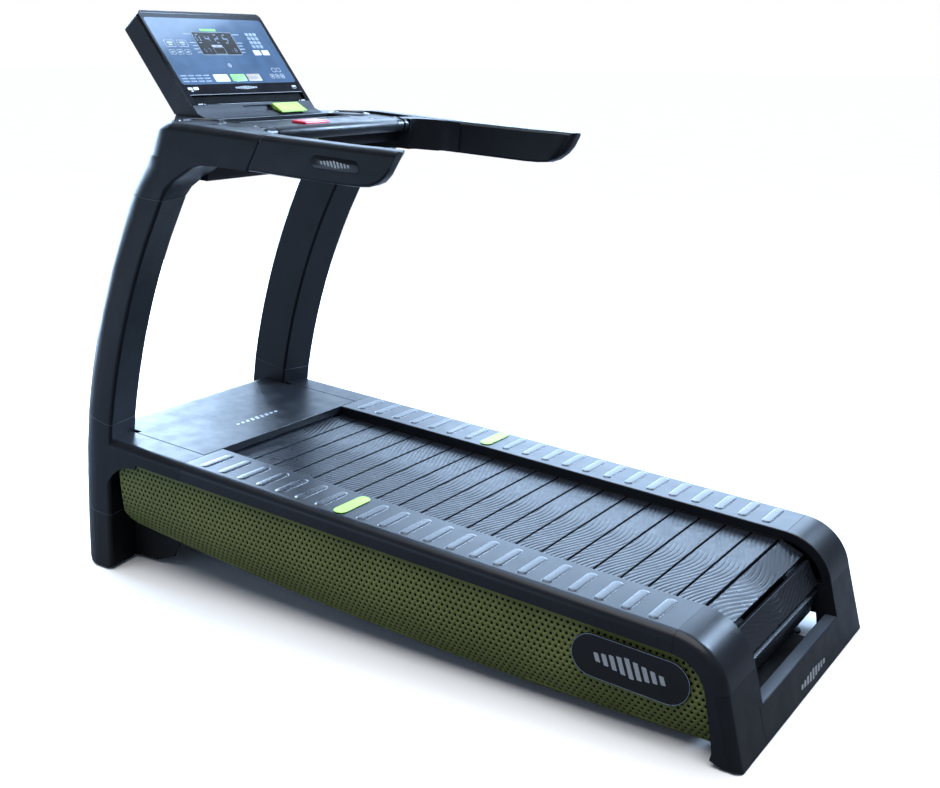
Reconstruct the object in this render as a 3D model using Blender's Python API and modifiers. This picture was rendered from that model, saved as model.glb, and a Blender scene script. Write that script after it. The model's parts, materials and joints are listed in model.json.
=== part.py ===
"""Manual slat-belt treadmill with a flat, slightly inclined deck.

Metres, +Z up, +Y the way the user faces, +X to the user's right. Most pieces are laid out in the
deck's own frame: X across, Y along the deck from the front seam of the foot rails, Z square to the
foot rails' tops. One empty, deck_frame, tilts that frame by the deck's incline.
"""

import math

import bmesh
import bpy
from mathutils import Matrix, Vector

# ---------------------------------------------------------------- driving dimensions
INCLINE = math.radians(3.83)
DECK_HEIGHT = 0.4083            # the deck frame's origin above the floor
DECK_SHIFT = 0.6194             # centres the whole object on Y = 0
CLEAR = 0.0003                  # gap between pieces that touch

HALF_WIDTH = 0.4585
RUN_HALF = 0.280                # half the opening between the foot rail covers
POST_IN = 0.339                 # inner face of posts and feet
RAIL_END = -1.549               # seam between a rail cover and its rear cap
COVER_SKIN = 0.004
COVER_DROP = 0.052
COVER_CORNER = 0.026            # outer corner radius of rail covers and rear caps

PITCH = 0.0766                  # slat pitch
SLAT_GAP = 0.006
SLAT_THICK = 0.0145
SLAT_HALF = 0.277
BELT_TOP = -0.029
CARRIER = 0.003
SLATS_PER_HALF_TURN = 4.5
TOP_PITCHES = 22
FRONT_AXLE_Y = -0.0746 + 3 * PITCH
REAR_AXLE_Y = FRONT_AXLE_Y - TOP_PITCHES * PITCH
PITCH_R = SLATS_PER_HALF_TURN * PITCH / math.pi
AXLE_Z = BELT_TOP - SLAT_THICK - PITCH_R
DRUM_R = PITCH_R - CARRIER - 0.0008
SLAT_STEP = PITCH / PITCH_R     # angle that one pitch takes on a drum

WEB_X = 0.300                   # frame rail: web's inner face
WEB_THICK = 0.005
SHAFT_R = 0.0175
SHAFT_SIDES = 24                # flats round a drum, its shaft and its bearings
BEARING_R = 0.045

POST_CENTRE = (-1.8069, -0.2308)
POST_RADIUS = 2.113
POST_LOW = math.radians(7.5)
POST_HIGH = math.radians(23.8)
POST_DEPTH = 0.162
POST_WIDTH = HALF_WIDTH - POST_IN
POST_ROUND = 0.110              # how far back the rounded front corner starts
POST_SKEW = 0.018               # a post's inner rear edge sits this far ahead of its outer one
SEAM_Z = 0.748                  # level seam between a post and its shoulder cover
SEAM_REAR = 0.0665              # rear face and front face of the post at that seam
SEAM_FRONT = 0.2480
ARM_ROUND = 0.016
ARM_IN = 0.402
ARM_START = -0.250              # lower end of the seam between shoulder cover and handrail
ARM_LEAN = 0.050                # how far back that seam leans by the arm's top
ARM_LOW = 0.868
SHOULDER_TOP = 0.9655
ARM_TIP_TOP = 0.972
CORNER_LOW = 0.872              # underside of the blocks that carry the crossbar

FACE_TILT = math.radians(47.9)
FACE_TOP = (0.369, 1.236)
CONSOLE_HALF = 0.255
CONSOLE_DEPTH = 0.075
CONSOLE_ROUND = 0.016           # radius of the console's two top corners
BEZEL_END = -0.333              # lower end of the bezel, down the face
TOP_FALL = 0.075                # how the shoulders' tops fall away towards the front
TRAY_TOP = 0.957
TRAY_LOW = 0.893
TRAY_SIDE = 0.3985

CUP_X = 0.322
CUP_Y = 0.040
CUP_R = 0.052
CUP_FLOOR = 0.904
SHELF_HALF = 0.245              # shallow shelf between the cups
SHELF_Y = (-0.020, 0.060)
WELL_FLOOR = 0.948              # floor of that shelf and of the stop button's well
STOP_X = -0.031
STOP_Y = -0.098
STOP_HALF = (0.0535, 0.0265)
BAR_Y = -0.173                  # centre of the grip crossbar
BAR_Z = 0.9445
BAR_R = 0.0195
BAR_END = 0.3215                # where the crossbar meets the handrails' corner blocks
KEY_X = 0.1215
KEY_HALF = 0.0575

GENERATOR_Y = -0.160
GENERATOR_PULLEY_R = 0.028
DRIVE_PULLEY_R = 0.080

WHEEL_X = 0.315
WHEEL_R = 0.030
WHEEL_WIDTH = 0.022
WHEEL_PIN_R = 0.005
WHEEL_Y = 0.264
WHEEL_Z = (0.036 - DECK_HEIGHT - WHEEL_Y * math.sin(INCLINE)) / math.cos(INCLINE)

COLOURS = {
    "black_plastic": ((0.020, 0.022, 0.026), 0.42, 0.0),
    "satin_shell": ((0.030, 0.034, 0.042), 0.36, 0.0),
    "gloss_black": ((0.008, 0.009, 0.012), 0.12, 0.0),
    "frame_paint": ((0.018, 0.019, 0.022), 0.45, 0.0),
    "green_steel": ((0.105, 0.130, 0.028), 0.45, 0.0),
    "lime_plastic": ((0.36, 0.60, 0.10), 0.40, 0.0),
    "stop_red": ((0.62, 0.02, 0.04), 0.35, 0.0),
    "slat_rubber": ((0.024, 0.026, 0.030), 0.50, 0.0),
    "bare_steel": ((0.55, 0.56, 0.58), 0.30, 1.0),
    "alloy": ((0.60, 0.61, 0.63), 0.38, 1.0),
    "glass_panel": ((0.10, 0.17, 0.27), 0.08, 0.0),
    "foot_rubber": ((0.015, 0.015, 0.016), 0.80, 0.0),
}

for old in list(bpy.data.objects):
    bpy.data.objects.remove(old, do_unlink=True)

parts = bpy.data.collections.new("manual_treadmill")
cutters = bpy.data.collections.new("cutters")
for collection in (parts, cutters):
    bpy.context.scene.collection.children.link(collection)
cutters.hide_render = True

deck = bpy.data.objects.new("deck_frame", None)
deck.rotation_euler = (INCLINE, 0, 0)
deck.location = (0, DECK_SHIFT, DECK_HEIGHT)
parts.objects.link(deck)


# ---------------------------------------------------------------- helpers
def material(name):
    """The named Principled material, made on first use."""
    if name in bpy.data.materials:
        return bpy.data.materials[name]
    colour, rough, metal = COLOURS[name]
    made = bpy.data.materials.new(name)
    made.use_nodes = True
    shader = made.node_tree.nodes["Principled BSDF"]
    shader.inputs["Base Color"].default_value = (*colour, 1)
    shader.inputs["Roughness"].default_value = rough
    shader.inputs["Metallic"].default_value = metal
    made.diffuse_color = (*colour, 1)
    return made


def arc(cy, cz, radius, start, end, steps):
    """Points on an arc, its ends in degrees."""
    angles = [math.radians(start + (end - start) * i / steps) for i in range(steps + 1)]
    return [(cy + radius * math.cos(a), cz + radius * math.sin(a)) for a in angles]


def floor_z(y, above=0.0):
    """Deck-frame height of a level plane this far above the floor."""
    return (above - DECK_HEIGHT - y * math.sin(INCLINE)) / math.cos(INCLINE)


def to_world(y, z):
    """World (y, z) of a deck-frame point."""
    return (
        y * math.cos(INCLINE) - z * math.sin(INCLINE) + DECK_SHIFT,
        y * math.sin(INCLINE) + z * math.cos(INCLINE) + DECK_HEIGHT,
    )


def add(name, mesh, look, origin=(0, 0, 0), parent=deck):
    """An object of this mesh, whose points are given in its parent's frame, with its own origin."""
    mesh.transform(Matrix.Translation(-Vector(origin)))
    mesh.name = name
    obj = bpy.data.objects.new(name, mesh)
    obj.location = origin
    obj.parent = parent
    mesh.materials.clear()
    mesh.materials.append(material(look))
    for face in mesh.polygons:
        face.use_smooth = True
    mesh.set_sharp_from_angle(angle=math.radians(35))
    parts.objects.link(obj)
    return obj


def mesh_of(obj):
    """The evaluated, welded mesh of a scratch object, which is removed."""
    bpy.context.view_layer.update()
    graph = bpy.context.evaluated_depsgraph_get()
    mesh = bpy.data.meshes.new_from_object(obj.evaluated_get(graph))
    mesh.transform(obj.matrix_world)
    work = bmesh.new()
    work.from_mesh(mesh)
    bmesh.ops.remove_doubles(work, verts=work.verts, dist=1e-5)
    bmesh.ops.recalc_face_normals(work, faces=work.faces)
    work.to_mesh(mesh)
    work.free()
    bpy.data.objects.remove(obj, do_unlink=True)
    return mesh


PLANES = {
    "X": Matrix(((0, 0, 1, 0), (1, 0, 0, 0), (0, 1, 0, 0), (0, 0, 0, 1))),
    "Y": Matrix(((1, 0, 0, 0), (0, 0, -1, 0), (0, 1, 0, 0), (0, 0, 0, 1))),
    "Z": Matrix.Identity(4),
}


def prism_mesh(outline, low, high, along="X"):
    """A flat outline carried along an axis. The outline is (y, z) for X, (x, z) for Y, (x, y) for Z."""
    curve = bpy.data.curves.new("outline", "CURVE")
    curve.dimensions = "2D"
    curve.fill_mode = "BOTH"
    curve.extrude = (high - low) / 2
    spline = curve.splines.new("POLY")
    spline.points.add(len(outline) - 1)
    for point, (a, b) in zip(spline.points, outline):
        point.co = (a, b, 0, 1)
    spline.use_cyclic_u = True
    obj = bpy.data.objects.new("outline", curve)
    middle = (low + high) / 2
    along_vector = {"X": (middle, 0, 0), "Y": (0, middle, 0), "Z": (0, 0, middle)}[along]
    obj.matrix_world = Matrix.Translation(along_vector) @ PLANES[along]
    bpy.context.scene.collection.objects.link(obj)
    return mesh_of(obj)


def box_mesh(low, high):
    """A box between two corners, from the cube primitive."""
    bpy.ops.mesh.primitive_cube_add(size=1)
    obj = bpy.context.object
    obj.scale = [b - a for a, b in zip(low, high)]
    obj.location = [(a + b) / 2 for a, b in zip(low, high)]
    return mesh_of(obj)


def disc_mesh(radius, x0, x1, y, z, sides=32):
    """A cylinder that lies along X."""
    bpy.ops.mesh.primitive_cylinder_add(vertices=sides, radius=radius, depth=x1 - x0)
    obj = bpy.context.object
    obj.rotation_euler = (0, math.pi / 2, 0)
    obj.location = ((x0 + x1) / 2, y, z)
    return mesh_of(obj)


def turned_mesh(profile, steps, y=0.0, z=0.0, along="X"):
    """A (radius, height) profile turned about an axis that passes through (y, z)."""
    mesh = bpy.data.meshes.new("profile")
    points = [(r, 0, h) for r, h in profile]
    closed = profile[0][0] > 0
    edges = [(i, i + 1) for i in range(len(points) - 1)]
    if closed:
        edges.append((len(points) - 1, 0))
    mesh.from_pydata(points, edges, [])
    obj = bpy.data.objects.new("turned", mesh)
    bpy.context.scene.collection.objects.link(obj)
    screw = obj.modifiers.new("turn", "SCREW")
    screw.steps = screw.render_steps = steps
    screw.use_merge_vertices = True
    screw.merge_threshold = 1e-5
    if along == "X":
        obj.rotation_euler = (0, math.pi / 2, 0)
    obj.location = (0, y, z)
    return mesh_of(obj)


def loft_mesh(rings):
    """A solid through rings of the same number of (x, y, z) points, closed at both ends."""
    work = bmesh.new()
    rows = [[work.verts.new(p) for p in ring] for ring in rings]
    count = len(rows[0])
    for lower, upper in zip(rows, rows[1:]):
        for i in range(count):
            j = (i + 1) % count
            work.faces.new((lower[i], lower[j], upper[j], upper[i]))
    work.faces.new(list(reversed(rows[0])))
    work.faces.new(rows[-1])
    bmesh.ops.triangulate(work, faces=work.faces)
    bmesh.ops.recalc_face_normals(work, faces=work.faces)
    mesh = bpy.data.meshes.new("loft")
    work.to_mesh(mesh)
    work.free()
    return mesh


def mirrored(mesh):
    """The mesh on the other side of X = 0, faces still pointing out."""
    copy = mesh.copy()
    copy.transform(Matrix.Diagonal((-1, 1, 1, 1)))
    copy.flip_normals()
    return copy


def combine(base, *others, operation="UNION"):
    """The base mesh joined with, or cut by, the other meshes."""
    for other in others:
        a = bpy.data.objects.new("base", base)
        b = bpy.data.objects.new("other", other)
        for obj in (a, b):
            cutters.objects.link(obj)
        boolean = a.modifiers.new("join", "BOOLEAN")
        boolean.operation = operation
        boolean.object = b
        base = mesh_of(a)
        bpy.data.objects.remove(b, do_unlink=True)
    return base


def soften(obj, width, segments=2, angle=40):
    """Rounds an object's edges sharper than the angle."""
    bevel = obj.modifiers.new("soften", "BEVEL")
    bevel.width = width
    bevel.segments = segments
    bevel.limit_method = "ANGLE"
    bevel.angle_limit = math.radians(angle)
    return obj


def pair(name, mesh, look, bevel=0.0, segments=2, origin=None):
    """Right and left copies of a mesh made for the right side."""
    made = []
    for side, shape in (("right", mesh.copy()), ("left", mirrored(mesh))):
        place = (0, 0, 0)
        if origin:
            place = (origin[0] if side == "right" else -origin[0], origin[1], origin[2])
        obj = add(f"{name}_{side}", shape, look, place)
        if bevel:
            soften(obj, bevel, segments)
        made.append(obj)
    return made


# ---------------------------------------------------------------- sections
def cover_section(inner, drop):
    """(x, depth) outline of a foot rail cover: a skin with an outer side band and an inner lip."""
    skin = COVER_SKIN
    corner = COVER_CORNER
    outer = [(HALF_WIDTH - corner + corner * math.sin(a), corner - corner * math.cos(a))
             for a in [math.radians(18 * i) for i in range(6)]]
    small = corner - skin
    back = [(HALF_WIDTH - corner + small * math.sin(a), corner - small * math.cos(a))
            for a in [math.radians(18 * i) for i in range(5, -1, -1)]]
    lip = 0.026
    return (
        [(inner + 0.002, 0)] + outer + [(HALF_WIDTH, drop), (HALF_WIDTH - skin, drop)]
        + back + [(inner + skin, skin), (inner + skin, lip), (inner, lip), (inner, 0.002)]
    )


def post_section(inner, depth, round_x, round_v):
    """(x, outward) outline of a post or arm whose outer front corner is a quarter ellipse."""
    skew = POST_SKEW * round_x / POST_WIDTH
    small = 0.010
    points = [(inner + 0.004, skew), (HALF_WIDTH - small, 0)]
    points += [(HALF_WIDTH - small * 0.3, small * 0.3), (HALF_WIDTH, small)]
    for i in range(9):
        a = math.radians(80 * i / 8)
        points.append((HALF_WIDTH - round_x * (1 - math.cos(a)), depth - round_v * (1 - math.sin(a))))
    points += [(inner + 0.008, depth), (inner, depth - 0.008), (inner, skew + 0.006)]
    return points


def frame_ring(section, at, outward):
    """Places a section in the side view: at is its inner edge, outward its depth's direction."""
    return [(x, at[0] + v * outward[0], at[1] + v * outward[1]) for x, v in section]


# ---------------------------------------------------------------- frame
def build_frame():
    low, high = -0.215, -0.0268
    front, rear = 0.400, -1.620
    wing = POST_IN - 0.001
    web = WEB_X + WEB_THICK
    ledge = RUN_HALF + CLEAR
    channel = [
        (WEB_X, low), (wing, low), (wing, low + WEB_THICK), (web, low + WEB_THICK),
        (web, high - WEB_THICK), (wing, high - WEB_THICK), (wing, high), (WEB_X, high),
    ]
    rail = prism_mesh(channel, rear, front, "Y")
    holes = [disc_mesh(0.022, 0.29, 0.31, y, AXLE_Z, 24) for y in (FRONT_AXLE_Y, REAR_AXLE_Y)]
    holes.append(disc_mesh(0.013, 0.29, 0.31, GENERATOR_Y, AXLE_Z, 16))
    shelf = box_mesh((ledge, RAIL_END + 0.006, high - WEB_THICK + CLEAR),
                     (WEB_X + 0.002, front - 0.002, high - CLEAR))
    rail = combine(combine(rail, *holes, operation="DIFFERENCE"), shelf)
    pair("frame_rail", rail, "frame_paint")

    span = WEB_X - CLEAR
    wall = 0.004
    for name, y in (("front", -0.45), ("rear", -1.20)):
        tube = box_mesh((-span, y - 0.025, -0.190), (span, y + 0.025, -0.110))
        hollow = box_mesh((-span - wall, y - 0.025 + wall, -0.190 + wall),
                          (span + wall, y + 0.025 - wall, -0.110 - wall))
        tube = combine(tube, hollow, operation="DIFFERENCE")
        add(f"crossmember_{name}", tube, "frame_paint")

    track = box_mesh((0.222, -1.36, -0.110 + CLEAR),
                     (0.268, -0.33, BELT_TOP - SLAT_THICK - CARRIER - CLEAR))
    pair("belt_track", track, "alloy")

    top = -0.215 - CLEAR
    beam = [
        (0.300, top), (0.430, top), (0.440, top - 0.012),
        (0.440, floor_z(0.44, 0.012)), (0.300, floor_z(0.30, 0.012)),
    ]
    half = POST_IN - CLEAR
    pieces = []
    for side in (-1, 1):
        for gap in (-1, 1):
            middle = side * WHEEL_X + gap * (WHEEL_WIDTH / 2 + 0.0035)
            ear = arc(WHEEL_Y, WHEEL_Z, 0.012, 90, 270, 8)
            ear += [(0.302, WHEEL_Z - 0.012), (0.302, WHEEL_Z + 0.012)]
            pieces.append(prism_mesh(ear, middle - 0.002, middle + 0.002))
        ends = [side * WHEEL_X + gap * (WHEEL_WIDTH / 2 + 0.004) for gap in (-1, 1)]
        pieces.append(disc_mesh(WHEEL_PIN_R, *ends, WHEEL_Y, WHEEL_Z, 16))
    guard = [
        (0.302, floor_z(0.302, 0.012)), (0.225, floor_z(0.225, 0.012)), (0.150, floor_z(0.150, 0.040)),
        (0.110, -0.296), (0.110, -0.270), (0.302, -0.245),
    ]
    for side in (-1, 1):
        middle = side * (POST_IN - 0.005)
        pieces.append(prism_mesh(guard, middle - 0.0025, middle + 0.0025))
    whole = combine(prism_mesh(beam, -half, half), *pieces)
    add("front_base_beam", whole, "black_plastic")


# ---------------------------------------------------------------- belt
def run_outline(first_centre, last_centre, top, facing):
    """Side outline of a straight run of slats on its carrier. facing is +1 when the slats face up."""
    half = (PITCH - SLAT_GAP) / 2
    edge = 0.0015
    count = round((last_centre - first_centre) / PITCH) + 1
    back = top - facing * (SLAT_THICK + CARRIER)
    seat = top - facing * SLAT_THICK
    points = []
    for i in range(count):
        c = first_centre + i * PITCH
        points += [
            (c - half, seat), (c - half, top - facing * edge), (c - half + edge, top),
            (c + half - edge, top), (c + half, top - facing * edge), (c + half, seat),
        ]
    points += [(last_centre + half, back), (first_centre - half, back)]
    return points


def wrap_outline(axle_y, outward):
    """Side outline of the slats that ride round a drum. outward is -1 at the rear, +1 at the front."""
    half = (PITCH - SLAT_GAP) / 2
    edge = 0.0015
    outer = PITCH_R + SLAT_THICK
    seat_angle = math.asin(half / PITCH_R)
    inner = PITCH_R - CARRIER
    points = []

    def place(angle, tangent, radial):
        y = radial * math.sin(angle) + tangent * math.cos(angle)
        z = radial * math.cos(angle) - tangent * math.sin(angle)
        return (axle_y + outward * y, AXLE_Z + z)

    centres = [SLAT_STEP * (0.5 + k) for k in range(4)]
    for c in centres:
        points.append(place(c - seat_angle, 0, PITCH_R))
        points += [
            place(c, -half, outer - edge), place(c, -half + edge, outer),
            place(c, half - edge, outer), place(c, half, outer - edge),
        ]
        points.append(place(c + seat_angle, 0, PITCH_R))
        if c != centres[-1]:
            points.append(place(c + SLAT_STEP / 2, 0, PITCH_R))
    first, last = centres[0] - seat_angle, centres[-1] + seat_angle
    steps = 16
    for i in range(steps + 1):
        points.append(place(last + (first - last) * i / steps, 0, inner))
    return points


def build_belt():
    top_first = REAR_AXLE_Y + PITCH / 2
    top = prism_mesh(
        run_outline(top_first, FRONT_AXLE_Y - PITCH / 2, BELT_TOP, 1), -SLAT_HALF, SLAT_HALF)
    add("belt_top_run", top, "slat_rubber")
    low = AXLE_Z - PITCH_R - SLAT_THICK
    bottom = prism_mesh(
        run_outline(REAR_AXLE_Y, FRONT_AXLE_Y, low, -1), -SLAT_HALF, SLAT_HALF)
    add("belt_bottom_run", bottom, "slat_rubber")
    for name, y, outward in (("rear", REAR_AXLE_Y, -1), ("front", FRONT_AXLE_Y, 1)):
        wrap = prism_mesh(wrap_outline(y, outward), -SLAT_HALF, SLAT_HALF)
        add(f"belt_{name}_wrap", wrap, "slat_rubber", (0, y, AXLE_Z))


def drum_profile(left, right):
    """A shaft with two belt pulleys on it, as (radius, distance along the shaft)."""
    near, far = 0.150, 0.262
    edge = 0.004
    half = [(SHAFT_R, near), (DRUM_R - edge, near), (DRUM_R, near + edge),
            (DRUM_R, far - edge), (DRUM_R - edge, far), (SHAFT_R, far)]
    inner = [(r, -h) for r, h in reversed(half)]
    return [(0, left), (SHAFT_R, left)] + inner + half + [(SHAFT_R, right), (0, right)]


def build_drums():
    shaft_end = 0.337
    for name, y in (("rear", REAR_AXLE_Y), ("front", FRONT_AXLE_Y)):
        right = 0.372 if name == "front" else shaft_end
        profile = list(reversed(drum_profile(-shaft_end, right)))
        drum = turned_mesh(profile, SHAFT_SIDES, y, AXLE_Z)
        add(f"{name}_drum", drum, "alloy", (0, y, AXLE_Z))

        inner = (SHAFT_R + CLEAR) / math.cos(math.pi / SHAFT_SIDES)
        face = WEB_X + WEB_THICK + CLEAR
        ring = [(BEARING_R, face + 0.008), (BEARING_R, face), (inner, face), (inner, face + 0.024),
                (0.030, face + 0.024), (0.034, face + 0.008)]
        bearing = turned_mesh(ring, SHAFT_SIDES, y, AXLE_Z)
        pair(f"{name}_bearing", bearing, "frame_paint", origin=(face, y, AXLE_Z))


def build_drive():
    inner = SHAFT_R + CLEAR
    grip, rim = 0.346, 0.368
    pulley = turned_mesh(
        [(DRIVE_PULLEY_R, rim), (DRIVE_PULLEY_R, grip), (inner, grip), (inner, rim)],
        48, FRONT_AXLE_Y, AXLE_Z)
    add("drive_pulley", pulley, "alloy", (grip, FRONT_AXLE_Y, AXLE_Z))

    shaft = 0.010
    rotor = turned_mesh(
        [(0, 0.398), (0.066, 0.398), (0.066, 0.376), (GENERATOR_PULLEY_R, 0.376),
         (GENERATOR_PULLEY_R, grip), (shaft, grip), (shaft, 0.176), (0, 0.176)],
        32, GENERATOR_Y, AXLE_Z)
    add("flywheel_rotor", rotor, "bare_steel", (grip, GENERATOR_Y, AXLE_Z))

    bore = shaft + CLEAR
    body = turned_mesh(
        [(0.072, 0.290), (0.076, 0.284), (0.076, 0.150), (0.072, 0.144), (bore, 0.144),
         (bore, WEB_X - CLEAR), (0.040, WEB_X - CLEAR), (0.040, 0.290)],
        32, GENERATOR_Y, AXLE_Z)
    add("generator_housing", body, "frame_paint", (0, GENERATOR_Y, AXLE_Z))

    add("drive_belt", drive_belt_mesh(0.349, 0.365), "foot_rubber")


def drive_belt_mesh(x0, x1):
    """A flat belt round the drive pulley and the generator's pulley."""
    distance = FRONT_AXLE_Y - GENERATOR_Y
    thick = 0.004
    lean = math.degrees(math.asin((DRIVE_PULLEY_R - GENERATOR_PULLEY_R) / distance))

    def loop(extra):
        big = arc(FRONT_AXLE_Y, AXLE_Z, DRIVE_PULLEY_R + extra, -90 - lean, 90 + lean, 20)
        small = arc(GENERATOR_Y, AXLE_Z, GENERATOR_PULLEY_R + extra, 90 + lean, 270 - lean, 12)
        return big + small

    outer = prism_mesh(loop(thick), x0, x1)
    hole = prism_mesh(loop(2 * CLEAR), x0 - 0.01, x1 + 0.01)
    return combine(outer, hole, operation="DIFFERENCE")


# ---------------------------------------------------------------- deck covers
CAP_R = 0.145
CAP_CENTRE = (RAIL_END, -CAP_R)
CAP_SEAM_ANGLE = 167
LEG_FOOT = (-1.748, -0.290)
SIDE_BAND = 0.028               # from a rear foot's outer edge to the cap's side band


def build_covers():
    section = cover_section(RUN_HALF, COVER_DROP)
    flat = [(x, -d) for x, d in section]
    rail = prism_mesh(flat, RAIL_END + CLEAR, -CLEAR, "Y")
    pair("rail_cover", rail, "satin_shell")

    rings = []
    for i in range(13):
        a = math.radians(90 + (CAP_SEAM_ANGLE - 90) * i / 12)
        out = (math.cos(a), math.sin(a))
        at = (CAP_CENTRE[0] + CAP_R * out[0], CAP_CENTRE[1] + CAP_R * out[1])
        rings.append([(x, at[0] - d * out[0], at[1] - d * out[1]) for x, d in section])
    build_rear_end(loft_mesh(rings))

    marker_x, marker_y = 0.363, -0.556
    marker_half, marker_r = 0.0495, 0.0195
    marker = []
    for side, turn in ((1, 0), (-1, 180)):
        marker += arc(marker_x + side * marker_half, marker_y, marker_r, turn - 90, turn + 90, 8)
    pill = prism_mesh(marker, CLEAR, 0.003, "Z")
    pair("step_marker", pill, "lime_plastic", 0.001, 1)

    build_side_panels()
    build_front_cover()
    build_belly_pan()


def panel_low(y):
    """Height of the side panel's bowed lower edge."""
    return -0.262 - 0.036 * (1 - ((y + 0.70) / 0.98) ** 2)


def panel_x(share):
    """Outer face of the side panel at this share of the way from its top line to its lower edge."""
    return 0.4515 - 0.006 * (1 - share) ** 2 - 0.042 * max(0, (share - 0.45) / 0.55) ** 2.2


def build_side_panels():
    """Perforated steel side panels: barrel shaped, tucked under at the foot, rounded at the front."""
    thick = 0.002
    top = -0.030
    front, rear = 0.264, -1.700
    round_r = 0.070
    stations = [(front - round_r + round_r * math.sin(a), top - round_r + round_r * math.cos(a))
                for a in [math.radians(15 * i) for i in range(6, 0, -1)]]
    stations += [(front - round_r + (rear - front + round_r) * i / 12, top) for i in range(13)]
    rings = []
    for y, start in stations:
        low = panel_low(y)
        outer, inner = [], []
        for k in range(9):
            z = start + (low - start) * k / 8
            share = (z - top) / (low - top)
            outer.append((panel_x(share), y, z))
            inner.append((panel_x(share) - thick, y, z + 0.0006 * share))
        rings.append(outer + inner[::-1])
    seam = cap_edge()
    limit = arc(*CAP_CENTRE, 0.117, 90, 160, 8)
    limit += [(-1.6375, -0.124), (-1.6625, -0.220), (-1.6705, -0.262), (-1.672, -0.330)]
    limit += [(seam[0] - 0.1, -0.330), (seam[0] - 0.1, 0.02), (RAIL_END, 0.02)]
    beyond = prism_mesh(limit, 0.40, 0.47)
    sheet = combine(loft_mesh(rings), beyond, operation="DIFFERENCE")
    pair("side_panel", sheet, "green_steel")

    badge = []
    for side, turn in ((1, 0), (-1, 180)):
        badge += arc(-1.450 + side * 0.0975, -0.128, 0.0565, turn - 90, turn + 90, 10)
    plate = prism_mesh(badge, 0.4518, 0.4560)
    pair("side_badge", plate, "gloss_black", 0.0012, 1)


def cap_edge():
    """The point at the seam between rear cap and lower cover, on the outer profile."""
    a = math.radians(CAP_SEAM_ANGLE)
    return (CAP_CENTRE[0] + CAP_R * math.cos(a), CAP_CENTRE[1] + CAP_R * math.sin(a))


def seam_ways():
    """At the seam below a rear cap: the way into the cap and the way on down the profile."""
    a = math.radians(CAP_SEAM_ANGLE)
    return (-math.cos(a), -math.sin(a)), (-math.sin(a), math.cos(a))


def from_seam(depth, below):
    """The side-view point this deep inside the outer profile and this far below the seam."""
    seam = cap_edge()
    inward, down = seam_ways()
    return (seam[0] + depth * inward[0] + below * down[0], seam[1] + depth * inward[1] + below * down[1])


def corner_cutter():
    """What lies outside the rounded outer corner of a rear foot."""
    seam = Vector(cap_edge())
    foot = Vector(LEG_FOOT)
    way = (foot - seam).normalized()
    into = (-way[1], way[0])
    inward, down = seam_ways()
    foot_corner = 0.018
    over = 0.010
    stations = (
        (from_seam(0, -over), inward, COVER_CORNER), (tuple(seam), inward, COVER_CORNER),
        (LEG_FOOT, into, foot_corner), (tuple(foot + 3 * over * way), into, foot_corner),
    )
    rings = []
    for (y, z), turn, r in stations:
        section = [(HALF_WIDTH - r, -over), (HALF_WIDTH + over, -over), (HALF_WIDTH + over, r)]
        section += [(HALF_WIDTH - r + r * math.sin(a), r - r * math.cos(a))
                    for a in [math.radians(18 * i) for i in range(5, -1, -1)]]
        rings.append([(x, y + d * turn[0], z + d * turn[1]) for x, d in section])
    return loft_mesh(rings)


def side_slab(gap):
    """Where a rear cap's side band runs down over the foot, with a gap behind and inside it."""
    past_foot = -0.320
    past_panel = -1.640
    outline = [
        from_seam(SIDE_BAND - gap, -0.010), (LEG_FOOT[0] + 0.022 - gap, past_foot),
        (past_panel, past_foot), (past_panel, -0.200), from_seam(COVER_DROP + 0.020, -0.010),
    ]
    return prism_mesh(outline, HALF_WIDTH - COVER_SKIN - gap, HALF_WIDTH + 0.010)


def build_rear_end(cap):
    """The rear caps with their side bands, and the lower cover that joins both feet."""
    gap = CLEAR + 0.0001
    leg = [
        from_seam(0, gap), LEG_FOOT, (LEG_FOOT[0] + 0.008, floor_z(-1.74, 0.006)),
        (-1.698, floor_z(-1.698, 0.006)), (-1.669, floor_z(-1.669, 0.018)), (-1.672, -0.262),
        (-1.664, -0.220), from_seam(COVER_DROP, gap),
    ]
    right = combine(prism_mesh(leg, RUN_HALF, HALF_WIDTH), corner_cutter(), operation="DIFFERENCE")
    lip_y = -1.7195
    beam = [
        (lip_y, -0.200), (LEG_FOOT[0] - 0.0001, LEG_FOOT[1]),
        (LEG_FOOT[0] + 0.008, floor_z(-1.74, 0.006)), (-1.706, floor_z(-1.706, 0.006)),
        (-1.690, -0.270), (-1.685, -0.203),
    ]
    cross = prism_mesh(beam, -RUN_HALF - 0.02, RUN_HALF + 0.02)
    solid = bpy.data.objects.new("solid", combine(right, cross, mirrored(right)))
    bpy.context.scene.collection.objects.link(solid)
    whole = mesh_of(soften(solid, 0.004, 2, 50))

    strip = combine(side_slab(0), whole.copy(), operation="INTERSECT")
    inset = 0.0005
    bridge = [from_seam(SIDE_BAND + inset, -0.002), from_seam(SIDE_BAND + inset, 0.006),
              from_seam(COVER_DROP - inset, 0.006), from_seam(COVER_DROP - inset, -0.002)]
    bridge = prism_mesh(bridge, HALF_WIDTH - COVER_SKIN + inset, HALF_WIDTH - 0.0001)
    pair("rear_cap", combine(cap, strip, bridge), "satin_shell")
    slab = side_slab(CLEAR)
    lower = combine(whole, slab, mirrored(slab), operation="DIFFERENCE")
    add("rear_lower_cover", lower, "black_plastic")


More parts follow.
